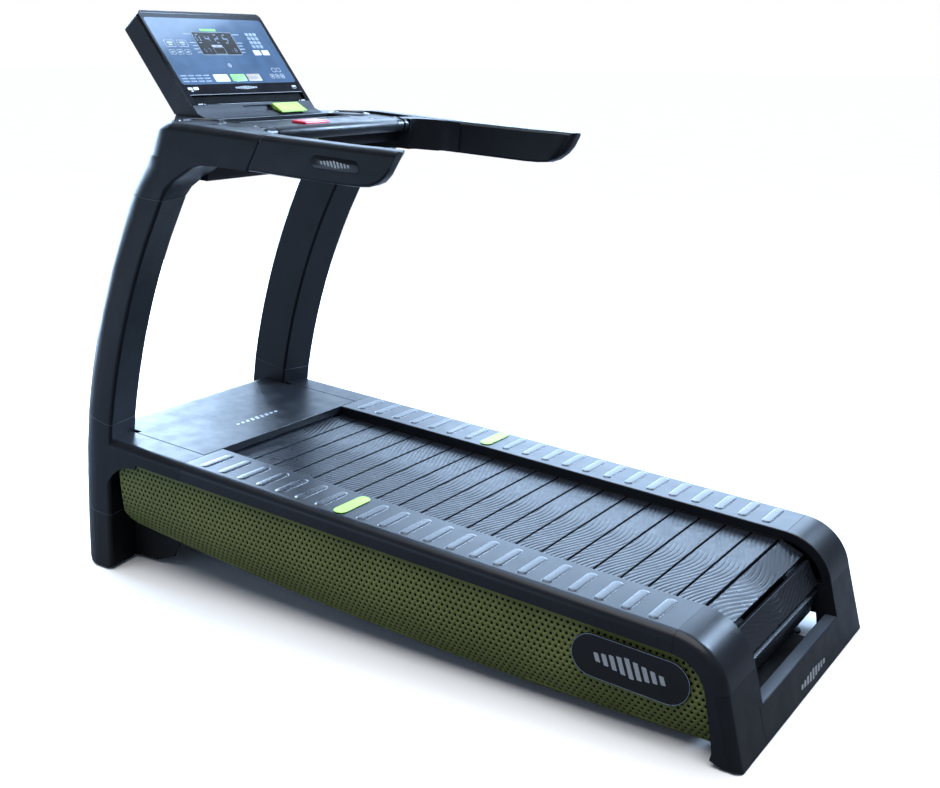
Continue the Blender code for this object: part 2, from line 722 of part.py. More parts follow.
def build_front_cover():
    thick = COVER_SKIN
    bend = 0.055
    front = 0.440
    lip = -0.025
    rear = 0.003
    wide, narrow = 0.3547, POST_IN - CLEAR
    outer = [(rear, lip), (rear, 0)] + arc(front - bend, -bend, bend, 90, 0, 8) + [(front, -0.2148)]
    inner = [(front - thick, -0.2148)] + arc(front - bend, -bend, bend - thick, 0, 90, 8)
    inner += [(rear + thick, -thick), (rear + thick, lip)]
    shell = prism_mesh(outer + inner, -narrow, narrow)
    plate = box_mesh((-wide, rear, -thick), (wide, 0.284, 0))
    add("front_cover", combine(shell, plate), "satin_shell")


def build_belly_pan():
    """Underside pan with the same bow as the side panels' lower edges."""
    front, rear = -0.02, -1.40
    middle, half = (front + rear) / 2, (front - rear) / 2

    def sag(y, base):
        return base - 0.014 * (1 - ((y - middle) / half) ** 2)

    steps = [front + (rear - front) * i / 12 for i in range(13)]
    outline = [(y, sag(y, -0.2835)) for y in steps]
    outline += [(y, sag(y, -0.2865)) for y in reversed(steps)]
    tail = box_mesh((-0.276, -1.676, -0.2865), (0.276, rear + 0.010, -0.2835))
    add("belly_pan", combine(prism_mesh(outline, -0.398, 0.398), tail), "black_plastic")


# ---------------------------------------------------------------- posts and base
def post_frame(angle):
    out = (math.cos(angle), math.sin(angle))
    at = (POST_CENTRE[0] + POST_RADIUS * out[0], POST_CENTRE[1] + POST_RADIUS * out[1])
    return at, out


def build_uprights():
    """Curved posts that end in a level seam at the top."""
    section = post_section(POST_IN, POST_DEPTH, POST_WIDTH - 0.008, POST_ROUND)
    slack = CLEAR / POST_RADIUS
    rings = []
    for i in range(10):
        angle = POST_LOW + slack + (POST_HIGH - POST_LOW - slack) * i / 9
        rings.append(frame_ring(section, *post_frame(angle)))
    stretch = (SEAM_FRONT - SEAM_REAR) / POST_DEPTH
    rings.append(frame_ring(section, (SEAM_REAR, SEAM_Z - CLEAR), (stretch, 0)))
    pair("upright", loft_mesh(rings), "satin_shell")


def build_base():
    section = post_section(POST_IN, POST_DEPTH, POST_WIDTH - 0.008, POST_ROUND)
    start = post_frame(POST_LOW)
    rows = [(start[0], start[1]), ((0.2965, -0.060), (1.0, 0.06)), ((0.2995, -0.150), (1.0, 0.02)),
            ((0.3000, -0.2447), (1.0, 0.0))]
    block = loft_mesh([frame_ring(section, at, out) for at, out in rows])

    cover = [(x, -d) for x, d in cover_section(0.355 + CLEAR, COVER_DROP)]
    tongue = prism_mesh(cover, CLEAR, 0.330, "Y")
    corner = arc(0.182, -0.200, 0.136, 0, 90, 10)
    gusset = [(0.330, -0.044), (0.330, -0.200)] + corner + [(0.182, -0.044)]
    skin = prism_mesh(gusset, HALF_WIDTH - 0.0055, HALF_WIDTH - 0.0005)
    pair("base_cover", combine(block, tongue, skin), "satin_shell")

    rows = [((0.3000, -0.2453), (1.0, 0.0)), ((0.2990, -0.340), (1.0, 0.0)),
            ((0.2970, floor_z(0.297, 0.014)), (1.0, -math.tan(INCLINE))),
            ((0.3060, floor_z(0.306, 0.006)), (0.89, -0.89 * math.tan(INCLINE)))]
    foot = loft_mesh([frame_ring(section, at, out) for at, out in rows])
    pair("foot_cover", foot, "black_plastic")


def arm_inner(y):
    """The arm's inner face closes in from the post's width to the handrail's."""
    share = min(1, max(0, y / ARM_START))
    return POST_IN + (ARM_IN - POST_IN) * share


def shoulder_ring(z, rear, front, skew, inset=0.0):
    """A level section through the shoulder, its outer front corner a quarter ellipse."""
    side = HALF_WIDTH - inset
    small = 0.010
    nose = front - inset
    points = [(arm_inner(rear) + 0.004, rear + skew, z), (side - small, rear, z)]
    points += [(side - small * 0.3, rear + small * 0.3, z), (side, rear + small, z)]
    width = POST_WIDTH - 0.008 - inset
    round_y = (front - max(rear, -0.02)) * POST_ROUND / POST_DEPTH
    for i in range(9):
        a = math.radians(80 * i / 8)
        points.append((side - width * (1 - math.cos(a)), nose - round_y * (1 - math.sin(a)), z))
    points += [(POST_IN + 0.008, nose, z), (POST_IN, nose - 0.008, z)]
    start = rear + skew + 0.006
    points += [(POST_IN, max(start + 0.006, 0.001), z), (arm_inner(rear), start, z)]
    return [(x, y, z - max(0, y) * TOP_FALL) for x, y, z in points] if z > CORNER_LOW else points


def tray_plan(grow):
    """The tray's outline from above, grown by a gap."""
    half = [(TRAY_SIDE, -0.1497), (TRAY_SIDE, 0.064), (0.387, 0.090), (0.350, 0.121),
            (0.262, 0.206), (0.245, 0.222)]
    half = [(x + grow, y + (grow if y > 0 else -grow)) for x, y in half]
    return half + [(-x, y) for x, y in reversed(half)]


def build_shoulders():
    """The bends from the posts to the handrails, narrowing from post width to arm width."""
    levels = [
        (SEAM_Z + CLEAR, SEAM_REAR, SEAM_FRONT, 0.020), (0.779, 0.047, 0.232, 0.014),
        (0.808, 0.015, 0.216, 0.006), (0.836, -0.030, 0.200, 0), (0.852, -0.056, 0.191, 0),
        (0.862, -0.090, 0.186, 0), (ARM_LOW - 0.0018, -0.150, 0.184, 0),
        (ARM_LOW, ARM_START + CLEAR, 0.183, 0), (0.944, None, 0.139, 0),
    ]
    levels += [(0.955, None, 0.132, 0, 0.004), (0.962, None, 0.128, 0, 0.010),
               (SHOULDER_TOP, None, 0.126, 0, 0.018)]
    rings = []
    for z, rear, front, skew, *inset in levels:
        if rear is None:
            rear = arm_seam(z) + CLEAR
        rings.append(shoulder_ring(z, rear, front, skew, *inset))
    rebate = prism_mesh(tray_plan(CLEAR), TRAY_LOW - CLEAR, 1.00, "Z")
    notch = box_mesh((0.30, -0.36, CORNER_LOW - CLEAR), (ARM_IN - CLEAR / 2, -0.1490, 1.01))
    whole = combine(loft_mesh(rings), rebate, notch, operation="DIFFERENCE")
    pair("shoulder_cover", whole, "satin_shell")


def arm_seam(z):
    """Where the leaning seam between shoulder cover and handrail lies at a height."""
    return ARM_START - ARM_LEAN * (z - ARM_LOW) / (SHOULDER_TOP - ARM_LOW)


def arm_ring(y, low, top, lean=0.0, inner=ARM_IN):
    """A section of a handrail at y. lean moves the section's top towards the tip."""
    section = post_section(inner, top - low, ARM_ROUND, ARM_ROUND)
    return [(x, y - lean * v / (top - low), low + v) for x, v in section]


def build_handrails():
    rings = [arm_ring(ARM_START - CLEAR, ARM_LOW, SHOULDER_TOP, ARM_LEAN)]
    rings.append(arm_ring(-0.560, 0.871, ARM_TIP_TOP - 0.003, 0.010))
    for y, low, lean, inner in (
            (-0.604, 0.873, 0.066, ARM_IN), (-0.637, 0.877, 0.076, 0.406), (-0.664, 0.888, 0.050, 0.415),
            (-0.684, 0.904, 0.036, 0.424), (-0.700, 0.924, 0.022, 0.432)):
        rings.append(arm_ring(y, low, ARM_TIP_TOP, lean, inner))
    pair("handrail", loft_mesh(rings), "satin_shell")

    front, rear = -0.150, -0.330
    bend_y, bend_x, bend_run = -0.196, 0.076, 0.124
    corner = [(ARM_IN - CLEAR, front), (BAR_END, front), (BAR_END, bend_y)]
    for i in range(1, 10):
        a = math.radians(90 * i / 10)
        corner.append((BAR_END + bend_x * math.sin(a), bend_y - bend_run * (1 - math.cos(a))))
    corner += [(BAR_END + bend_x, rear), (ARM_IN - CLEAR, rear)]
    block = prism_mesh(corner, CORNER_LOW, BAR_Z + BAR_R + 0.0005, "Z")
    pair("handrail_corner", block, "satin_shell", 0.006, 2)

    bar = bpy.data.curves.new("bar", "CURVE")
    bar.dimensions = "3D"
    bar.bevel_depth = BAR_R
    bar.bevel_resolution = 4
    bar.use_fill_caps = True
    spline = bar.splines.new("POLY")
    spline.points.add(1)
    for point, x in zip(spline.points, (CLEAR - BAR_END, BAR_END - CLEAR)):
        point.co = (x, BAR_Y, BAR_Z, 1)
    obj = bpy.data.objects.new("bar", bar)
    bpy.context.scene.collection.objects.link(obj)
    add("grip_crossbar", mesh_of(obj), "satin_shell")


# ---------------------------------------------------------------- console
def on_face(s, t):
    """Side-view point s along the console face from its top edge, t behind the face."""
    up = (math.cos(FACE_TILT), math.sin(FACE_TILT))
    back = (up[1], -up[0])
    return (FACE_TOP[0] + s * up[0] + t * back[0], FACE_TOP[1] + s * up[1] + t * back[1])


def face_slab(s0, s1, t0, t1, half_low, half_high):
    """A slab lying in the console face between two distances along and behind it."""
    outline = [on_face(s0, t0), on_face(s0, t1), on_face(s1, t1), on_face(s1, t0)]
    return prism_mesh(outline, half_low, half_high)


def down_to(z, t):
    """Face distance at which the line t behind the face reaches a height."""
    return (z - FACE_TOP[1] + t * math.cos(FACE_TILT)) / math.sin(FACE_TILT)


def face_ring(t, low):
    """The console's outline t behind the face: rounded top corners, and a lower end at low."""
    half, r = CONSOLE_HALF, CONSOLE_ROUND
    outline = arc(half - r, -r, r, 0, 90, 6) + arc(r - half, -r, r, 90, 180, 6)
    outline += [(-half, low), (half, low)]
    return [(x, *on_face(s, t)) for x, s in outline]


def build_console():
    shell_face = 0.012
    base = TRAY_TOP + CLEAR
    housing = loft_mesh([
        face_ring(shell_face, down_to(base, shell_face)),
        face_ring(CONSOLE_DEPTH, down_to(base, CONSOLE_DEPTH)),
    ])
    soften(add("console_housing", housing, "satin_shell"), 0.008, 3)

    back = shell_face - CLEAR
    glass_top, glass_low, glass_half = -0.010, -0.290, 0.246
    bezel = loft_mesh([face_ring(0, BEZEL_END), face_ring(back, BEZEL_END)])
    pocket = face_slab(glass_top, glass_low, -0.01, 0.003, -glass_half, glass_half)
    slot = face_slab(-0.299, -0.327, -0.01, 0.008, -0.240, 0.240)
    frame = combine(bezel, pocket, slot, operation="DIFFERENCE")
    add("console_bezel", frame, "gloss_black")

    edge = glass_half - CLEAR
    glass = face_slab(glass_top - CLEAR, glass_low + CLEAR, CLEAR, 0.003 - CLEAR, -edge, edge)
    add("display_glass", glass, "glass_panel")

    toe = down_to(base, 0)
    seam = BEZEL_END - 0.0005
    apron = [on_face(seam, 0), on_face(seam, back), on_face(down_to(base, back), back)]
    apron += [(on_face(toe, 0)[0] - 0.020, base), (on_face(toe, 0)[0] - 0.018, base + 0.002)]
    apron += [on_face(toe + 0.014, 0.0)]
    skirt = prism_mesh(apron, -CONSOLE_HALF, CONSOLE_HALF)
    recess = face_slab(-0.340, -0.362, -0.02, 0.007, -0.057, 0.060)
    add("console_apron", combine(skirt, recess, operation="DIFFERENCE"), "satin_shell")

    tray = prism_mesh(tray_plan(0), TRAY_LOW, TRAY_TOP, "Z")
    cups = []
    for x in (-CUP_X, CUP_X):
        deep = 0.08
        bpy.ops.mesh.primitive_cylinder_add(vertices=32, radius=CUP_R, depth=deep,
                                            location=(x, CUP_Y, CUP_FLOOR + deep / 2))
        cups.append(mesh_of(bpy.context.object))
    room = 0.001
    half_x, half_y = STOP_HALF
    above = TRAY_TOP + 0.013
    well = box_mesh((STOP_X - half_x - room, STOP_Y - half_y - room, WELL_FLOOR),
                    (STOP_X + half_x + room, STOP_Y + half_y + room, above))
    shelf = box_mesh((-SHELF_HALF, SHELF_Y[0], WELL_FLOOR), (SHELF_HALF, SHELF_Y[1], above))
    tray = combine(tray, *cups, well, shelf, operation="DIFFERENCE")
    belly = [(0.002, TRAY_LOW + 0.004), (0.002, 0.812), (0.008, 0.800), (0.205, 0.800),
             (0.213, 0.812), (0.172, TRAY_LOW + 0.004)]
    tray = combine(tray, prism_mesh(belly, CLEAR - POST_IN, POST_IN - CLEAR))
    add("console_tray", tray, "satin_shell")

    rest = 0.9515
    stop = box_mesh((STOP_X - half_x, STOP_Y - half_y, rest), (STOP_X + half_x, STOP_Y + half_y, 0.965))
    soften(add("stop_button", stop, "stop_red", (STOP_X, STOP_Y, rest)), 0.004, 2)

    seat = -0.0004
    lip_y, lip_z = on_face(toe, 0)[0] - 0.024, base + 0.0055
    paddle = [
        on_face(-0.341, seat), on_face(-0.341, -0.008), (lip_y + 0.014, lip_z + 0.012),
        (lip_y - 0.001, lip_z + 0.005), (lip_y, lip_z), (lip_y + 0.007, lip_z + 0.001),
        on_face(-0.359, seat),
    ]
    key = prism_mesh(paddle, KEY_X - KEY_HALF, KEY_X + KEY_HALF)
    add("safety_key", key, "lime_plastic", (KEY_X, *on_face(-0.350, seat)))


# ---------------------------------------------------------------- feet and wheels
def build_feet():
    """Screw feet, upright in the world, under the front beam and the rear ends of the rails."""
    pad_r, pad_h, stem_r = 0.026, 0.009, 0.007
    spots = {
        "front_left": (-0.300, 0.350, -0.2153), "front_right": (0.300, 0.350, -0.2153),
        "rear_left": (-0.321, -1.585, -0.2153), "rear_right": (0.321, -1.585, -0.2153),
    }
    for name, (x, y, z) in spots.items():
        wy, wz = to_world(y, z)
        top = wz - 0.0025
        if name.startswith("front"):
            top = 0.0112
        profile = [(0, top), (stem_r, top), (stem_r, pad_h), (pad_r, pad_h - 0.003), (pad_r, 0), (0, 0)]
        foot = turned_mesh(profile, 24, 0, 0, "Z")
        foot.transform(Matrix.Translation((x, wy, 0)))
        add(f"screw_foot_{name}", foot, "foot_rubber", (x, wy, 0), parent=None)


def build_wheels():
    """Transport wheels on the front beam's ears, clear of the floor until the deck is tipped."""
    half = WHEEL_WIDTH / 2
    bore = WHEEL_PIN_R + 0.00008
    profile = [(WHEEL_R, half), (WHEEL_R, -half), (bore, -half), (bore, half)]
    for name, x in (("left", -WHEEL_X), ("right", WHEEL_X)):
        wheel = turned_mesh(profile, 24, WHEEL_Y, WHEEL_Z)
        wheel.transform(Matrix.Translation((x, 0, 0)))
        add(f"transport_wheel_{name}", wheel, "foot_rubber", (x, WHEEL_Y, WHEEL_Z))


build_frame()
build_belt()
build_drums()
build_drive()
build_covers()
build_uprights()
build_base()
build_shoulders()
build_handrails()
build_console()
build_feet()
build_wheels()
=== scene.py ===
"""Looks of a manual slat-belt treadmill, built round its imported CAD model.

Metres. Places come from the CAD nodes and the joints. Most pieces are laid out in the deck's own
frame: X across, Y along the deck from the front seam of the foot rails, Z square to their tops.
"""

import json
from math import atan2, ceil, cos, hypot, pi, radians, sin, sqrt

import bmesh
import bpy
from mathutils import Matrix, Vector
from mathutils.geometry import delaunay_2d_cdt

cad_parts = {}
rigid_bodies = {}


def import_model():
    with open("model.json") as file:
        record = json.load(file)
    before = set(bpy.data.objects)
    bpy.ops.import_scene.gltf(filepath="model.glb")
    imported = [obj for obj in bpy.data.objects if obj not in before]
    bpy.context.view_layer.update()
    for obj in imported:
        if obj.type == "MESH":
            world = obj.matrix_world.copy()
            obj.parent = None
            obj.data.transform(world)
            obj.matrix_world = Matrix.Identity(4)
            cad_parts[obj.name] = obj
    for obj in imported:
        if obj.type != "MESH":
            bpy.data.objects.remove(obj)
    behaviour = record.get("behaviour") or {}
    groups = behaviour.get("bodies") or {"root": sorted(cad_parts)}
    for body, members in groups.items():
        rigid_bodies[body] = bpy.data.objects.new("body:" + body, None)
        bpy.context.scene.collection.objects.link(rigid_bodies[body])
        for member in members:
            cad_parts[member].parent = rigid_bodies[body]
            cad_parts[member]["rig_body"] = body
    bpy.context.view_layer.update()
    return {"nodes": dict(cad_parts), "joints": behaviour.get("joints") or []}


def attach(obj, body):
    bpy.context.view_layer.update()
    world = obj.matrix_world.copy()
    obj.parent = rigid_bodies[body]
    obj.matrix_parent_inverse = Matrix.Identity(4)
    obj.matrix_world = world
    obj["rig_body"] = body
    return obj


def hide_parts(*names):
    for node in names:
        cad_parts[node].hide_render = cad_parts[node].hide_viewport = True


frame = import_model()
nodes = frame["nodes"]
joints = {joint["name"]: joint for joint in frame["joints"]}
SIDES = {"left": -1, "right": 1}
link = bpy.context.scene.collection.objects.link


# ---------------- frames
def spread(name, place):
    """Lowest and highest corner of a CAD node in the frame that the matrix leads from."""
    back = place.inverted()
    points = [back @ vertex.co for vertex in nodes[name].data.vertices]
    low = Vector([min(p[i] for p in points) for i in range(3)])
    high = Vector([max(p[i] for p in points) for i in range(3)])
    return low, high


travel = Vector(joints["belt_travel"]["axis"])
INCLINE = atan2(-travel.z, -travel.y)
TILT = Matrix.Rotation(INCLINE, 4, "X")
rail_far = spread("rail_cover_right", TILT)[1]
DECK = Matrix.Translation(TILT @ Vector((0, rail_far.y, rail_far.z))) @ TILT

face_normal = Vector(joints["safety_key_pull"]["axis"])
face_up = face_normal.cross(Vector((1, 0, 0)))
FACE_TURN = Matrix((Vector((1, 0, 0)), face_up, face_normal)).transposed().to_4x4()
bezel_far = spread("console_bezel", FACE_TURN)[1]
FACE = Matrix.Translation(FACE_TURN @ Vector((0, bezel_far.y, bezel_far.z))) @ FACE_TURN


def axle(name):
    """An axle's (y, z) in the deck's frame."""
    place = DECK.inverted() @ Vector(joints[name]["pos_m"])
    return place.y, place.z


RAIL_LOW, RAIL_HIGH = spread("rail_cover_right", DECK)
PANEL_LOW, PANEL_HIGH = spread("side_panel_right", DECK)
BADGE_LOW, BADGE_HIGH = spread("side_badge_right", DECK)
BELT_HIGH = spread("belt_top_run", DECK)[1]
TRAY_LOW, TRAY_HIGH = spread("console_tray", DECK)
BAR_LOW, BAR_HIGH = spread("grip_crossbar", DECK)
REAR_HIGH = spread("rear_lower_cover", DECK)[1]
FRONT_AXLE = axle("front_drum_turn")
REAR_AXLE = axle("rear_drum_turn")


# ---------------- materials
def new_node(tree, kind, values=None):
    """A new shader node with these input values."""
    node = tree.nodes.new("ShaderNode" + kind)
    for name, value in (values or {}).items():
        node.inputs[name].default_value = value
    return node


NOISE_RANGE = (0.3, 0.7)  # noise keeps mostly to this range


def noise_node(tree, scale, detail):
    """Noise over the object's own coordinates; scale is in features per metre."""
    place = new_node(tree, "TexCoord")
    noise = new_node(tree, "TexNoise", {"Scale": scale, "Detail": detail})
    tree.links.new(place.outputs["Object"], noise.inputs["Vector"])
    return noise.outputs["Fac"]


def between(tree, factor, low, high):
    """A number that runs from low to high over a noise's range."""
    start, end = NOISE_RANGE
    node = new_node(tree, "MapRange", {"From Min": start, "From Max": end, "To Min": low, "To Max": high})
    tree.links.new(factor, node.inputs["Value"])
    return node.outputs["Result"]


def shades(tree, factor, dark, light, reach=NOISE_RANGE):
    """A colour ramp between two colours."""
    ramp = new_node(tree, "ValToRGB")
    for stop, position, colour in zip(ramp.color_ramp.elements, reach, (dark, light)):
        stop.position = position
        stop.color = (*colour, 1)
    tree.links.new(factor, ramp.inputs["Fac"])
    return ramp.outputs["Color"]


def bump_node(tree, height, distance, below=None):
    """A bump of this height in metres, on top of another bump."""
    bump = new_node(tree, "Bump", {"Distance": distance})
    tree.links.new(height, bump.inputs["Height"])
    if below:
        tree.links.new(below, bump.inputs["Normal"])
    return bump.outputs["Normal"]


def product(tree, a, b):
    """Two colours multiplied."""
    mix = tree.nodes.new("ShaderNodeMix")
    mix.data_type = "RGBA"
    mix.blend_type = "MULTIPLY"
    mix.inputs["Factor"].default_value = 1
    tree.links.new(a, mix.inputs["A"])
    tree.links.new(b, mix.inputs["B"])
    return mix.outputs["Result"]


MICROMETRE = 1e-6
COAT_ROUGHNESS = 0.08
SPECK = (0.82, 0.82, 0.82)  # what the finest specks multiply a colour by
SWELLS = 9  # slow waves per metre in a moulded or rolled surface


def blank_material(name):
    """A new material, its node tree and its shader."""
    made = bpy.data.materials.new(name)
    made.use_nodes = True
    return made, made.node_tree, made.node_tree.nodes["Principled BSDF"]


def finish_of(name, dark, light, rough, grain, height, specular=0.5, metal=0.0, coat=0.0, patch=5.0):
    """A surface with cloudy colour, uneven gloss and a moulded or rolled grain."""
    made, tree, shader = blank_material(name)
    depth = height * MICROMETRE
    shader.inputs["Metallic"].default_value = metal
    shader.inputs["Specular IOR Level"].default_value = specular
    shader.inputs["Coat Weight"].default_value = coat
    shader.inputs["Coat Roughness"].default_value = COAT_ROUGHNESS
    cloud = shades(tree, noise_node(tree, patch, 5), dark, light)
    speck = shades(tree, noise_node(tree, grain * 0.5, 2), SPECK, (1, 1, 1), (0.35, 0.6))
    tree.links.new(product(tree, cloud, speck), shader.inputs["Base Color"])
    gloss = between(tree, noise_node(tree, patch * 4, 6), *rough)
    tree.links.new(gloss, shader.inputs["Roughness"])
    swell = bump_node(tree, noise_node(tree, SWELLS, 2), depth * 0.5)
    normal = bump_node(tree, noise_node(tree, grain, 3), depth, swell)
    tree.links.new(normal, shader.inputs["Normal"])
    return made


# For each material: dark, light, (smoothest, roughest), grains per metre and their height in
# micrometres, then specular level, metal, coat and clouds per metre where they differ from usual.
FINISHES = {
    "satin_shell": ((0.0075, 0.0088, 0.0115), (0.011, 0.0128, 0.0165), (0.3, 0.42), 900, 30, 0.2),
    "rail_shell": ((0.008, 0.0095, 0.013), (0.0115, 0.0135, 0.018), (0.28, 0.34), 1100, 20, 0.25),
    # painted sheen: the ribs are moulded in the rail cover's plastic but get a lighter colour for the light
    # on their crowns and flanks
    "rib_painted_sheen": ((0.013, 0.0155, 0.021), (0.018, 0.0215, 0.0285), (0.24, 0.32), 1100, 20, 0.45),
    # painted highlight: pale lines standing in for light catching the seams' edges
    "seam_painted_highlight": ((0.055, 0.064, 0.078), (0.08, 0.09, 0.108), (0.3, 0.42), 600, 10, 0.4),
    "console_shell": ((0.015, 0.0185, 0.025), (0.022, 0.0265, 0.035), (0.32, 0.44), 900, 30, 0.35),
    # painted reflection: the rear ledge is given a lighter colour than the covers, standing in for the bright
    # sky it reflects
    "ledge_painted_reflection": ((0.035, 0.045, 0.062), (0.048, 0.06, 0.08), (0.3, 0.42), 900, 20, 0.4),
    # near black: painted shade lining the console's ledge slot, and the shelf mat's own black
    "shade_and_mat_black": ((0.0012, 0.0013, 0.0015), (0.0024, 0.0026, 0.003), (0.6, 0.75), 600, 30, 0.05),
    # painted shade: the drums are made far darker than their alloy so the gaps between slats at the turns
    # read as shade
    "drum_painted_shade": ((0.03, 0.031, 0.034), (0.055, 0.057, 0.062), (0.45, 0.6), 260, 30, 0.5, 1),
    "black_plastic": ((0.007, 0.0075, 0.009), (0.0125, 0.013, 0.015), (0.42, 0.58), 700, 50, 0.25),
    "gloss_black": ((0.004, 0.0045, 0.006), (0.0065, 0.0075, 0.01), (0.1, 0.18), 500, 4, 0.35),
    "frame_paint": ((0.008, 0.0085, 0.01), (0.014, 0.015, 0.017), (0.4, 0.55), 350, 60, 0.3),
    "green_steel": ((0.132, 0.153, 0.04), (0.172, 0.195, 0.055), (0.42, 0.56), 600, 40, 0.3),
    "lime_plastic": ((0.3, 0.57, 0.09), (0.4, 0.69, 0.14), (0.4, 0.52), 800, 30, 0.25),
    "stop_red": ((0.56, 0.02, 0.05), (0.72, 0.035, 0.075), (0.28, 0.38), 700, 20, 0.5, 0, 0.3),
    "slat_rubber": ((0.007, 0.0085, 0.012), (0.011, 0.013, 0.018), (0.26, 0.38), 800, 30, 0.25, 0, 0, 14),
    "bare_steel": ((0.42, 0.43, 0.45), (0.58, 0.59, 0.61), (0.22, 0.36), 300, 20, 0.5, 1),
    "alloy": ((0.46, 0.47, 0.49), (0.62, 0.63, 0.65), (0.3, 0.46), 260, 30, 0.5, 1),
    "glass_panel": ((0.04, 0.075, 0.13), (0.065, 0.11, 0.175), (0.1, 0.16), 40, 4, 0.5, 0, 1, 2),
    "foot_rubber": ((0.008, 0.008, 0.0085), (0.016, 0.016, 0.017), (0.62, 0.8), 500, 80, 0.3),
    "print_white": ((0.52, 0.56, 0.6), (0.66, 0.7, 0.74), (0.3, 0.42), 900, 10),
    "silver_ink": ((0.3, 0.33, 0.36), (0.42, 0.45, 0.48), (0.24, 0.34), 500, 10),
    "print_grey": ((0.15, 0.2, 0.27), (0.21, 0.27, 0.35), (0.25, 0.36), 900, 10),
    "print_green": ((0.16, 0.44, 0.1), (0.24, 0.56, 0.15), (0.3, 0.42), 900, 10),
    "print_tan": ((0.27, 0.22, 0.17), (0.36, 0.3, 0.24), (0.3, 0.42), 900, 30),
    "display_dark": ((0.016, 0.015, 0.014), (0.025, 0.023, 0.021), (0.2, 0.3), 60, 20, 0.3, 0, 0.15, 2.5),
}
LOOKS = {name: finish_of(name, *values) for name, values in FINISHES.items()}


# ---------------- mesh tools
def mesh_from(work):
    """The finished mesh of a bmesh, which is freed."""
    bmesh.ops.recalc_face_normals(work, faces=work.faces)
    mesh = bpy.data.meshes.new("mesh")
    work.to_mesh(mesh)
    work.free()
    return mesh


def piece(name, mesh, look, place=DECK, body="frame", sharp=35, replaces=()):
    """An object that rides on the body, its points given in the frame that place leads from.
    """
    mesh.transform(place)
    if place.determinant() < 0:
        mesh.flip_normals()
    mesh.materials.clear()
    mesh.materials.append(LOOKS[look])
    obj = bpy.data.objects.new(name, mesh)
    link(obj)
    for face in mesh.polygons:
        face.use_smooth = True
    mesh.set_sharp_from_angle(angle=radians(sharp))
    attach(obj, body)
    if replaces:
        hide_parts(*replaces)
    return obj


def joined(meshes):
    """One mesh of several, which keep their own shapes."""
    work = bmesh.new()
    for mesh in meshes:
        work.from_mesh(mesh)
    made = bpy.data.meshes.new("joined")
    work.to_mesh(made)
    work.free()
    return made


def loft(rings, caps=True):
    """A surface through closed rings of the same number of points."""
    work = bmesh.new()
    rows = [[work.verts.new(p) for p in ring] for ring in rings]
    count = len(rows[0])
    for lower, upper in zip(rows, rows[1:]):
        for i in range(count):
            j = (i + 1) % count
            work.faces.new((lower[i], lower[j], upper[j], upper[i]))
    if caps:
        work.faces.new(list(reversed(rows[0])))
        work.faces.new(rows[-1])
    return mesh_from(work)


def rounded(half_x, half_y, radius, steps=5):
    """Outline of a rounded rectangle about its centre. With equal half_y and radius it is a pill."""
    points = []
    for turn, sx, sy in ((0, 1, 1), (90, -1, 1), (180, -1, -1), (270, 1, -1)):
        for i in range(steps + 1):
            a = radians(turn + 90 * i / steps)
            points.append((sx * (half_x - radius) + radius * cos(a),
                           sy * (half_y - radius) + radius * sin(a)))
    return points


def plate(centre, half_x, half_y, radius, base, top, edge=0.0, steps=5, shear=0.0):
    """A rounded plate from height base to top, its upper edge eased by edge.

    With shear it leans along X, by that much for each unit of Y.
    """
    x0, y0 = centre
    levels = [(0, base), (0, top - edge)]
    if edge:
        levels += [(edge * 0.35, top - edge * 0.3), (edge, top)]
    rings = []
    for inset, z in levels:
        r = max(radius - inset, radius * 0.1)
        ring = rounded(half_x - inset, half_y - inset, r, steps)
        rings.append([(x0 + x + shear * y, y0 + y, z) for x, y in ring])
    return loft(rings)


def ring_band(centre, outer, inner, base, top, soft):
    """A raised round band whose upper edges are eased by soft."""
    profile = [(outer, base), (outer, top - soft), (outer - soft, top),
               (inner + soft, top), (inner, top - soft), (inner, base)]
    steps = 24
    work = bmesh.new()
    rows = []
    for i in range(steps):
        a = 2 * pi * i / steps
        rows.append([work.verts.new((centre[0] + r * cos(a), centre[1] + r * sin(a), z))
                     for r, z in profile])
    for i in range(steps):
        now, after = rows[i], rows[(i + 1) % steps]
        for k in range(len(profile)):
            m = (k + 1) % len(profile)
            work.faces.new((now[k], now[m], after[m], after[k]))
    return mesh_from(work)


LEAST_RADIUS = 0.0003  # smallest corner radius inside a band


def pill_band(centre, half_x, half_y, width, base, top, steps=8, radius=None):
    """A raised band that follows a rounded outline, a pill unless a corner radius is given."""
    rings = []
    for inset, z in ((0, base), (0, top), (width, top), (width, base)):
        r = max((radius or half_y) - inset, LEAST_RADIUS)
        ring = rounded(half_x - inset, half_y - inset, r, steps)
        rings.append([(centre[0] + x, centre[1] + y, z) for x, y in ring])
    return loft(rings + [rings[0]], caps=False)


WELD = 2e-5  # distance within which a node's loose corners are one point
SHARP = 32  # degrees from which an edge counts as sharp and is eased


def ease(obj, width, segments=2):
    """Rounds the object's sharp edges."""
    bevel = obj.modifiers.new("ease", "BEVEL")
    bevel.width = width
    bevel.segments = segments
    bevel.limit_method = "ANGLE"
    bevel.angle_limit = radians(SHARP)


def refined(name, width=0.0012, look=None, segments=2, merge=0.6):
    """The node's own shape, welded, with its flat facets merged and its edges eased.

    Facets that meet within merge degrees become one face. The result is a bare mesh, without the
    CAD mesh's stored normals.
    """
    source = nodes[name]
    skin = name + "_skin"
    work = bmesh.new()
    work.from_mesh(source.data)
    bmesh.ops.remove_doubles(work, verts=work.verts, dist=WELD)
    bmesh.ops.dissolve_limit(work, angle_limit=radians(merge), verts=work.verts, edges=work.edges)
    clean = mesh_from(work)
    bare = bpy.data.meshes.new(skin)
    bare.from_pydata([v.co.copy() for v in clean.vertices], [],
                     [tuple(p.vertices) for p in clean.polygons])
    slot = source.material_slots[0].name.split(".")[0]
    obj = piece(skin, bare, look or slot, Matrix.Identity(4), source["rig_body"], SHARP, [name])
    if width:
        ease(obj, width, segments)
    flat = obj.modifiers.new("flat", "WEIGHTED_NORMAL")
    flat.keep_sharp = True


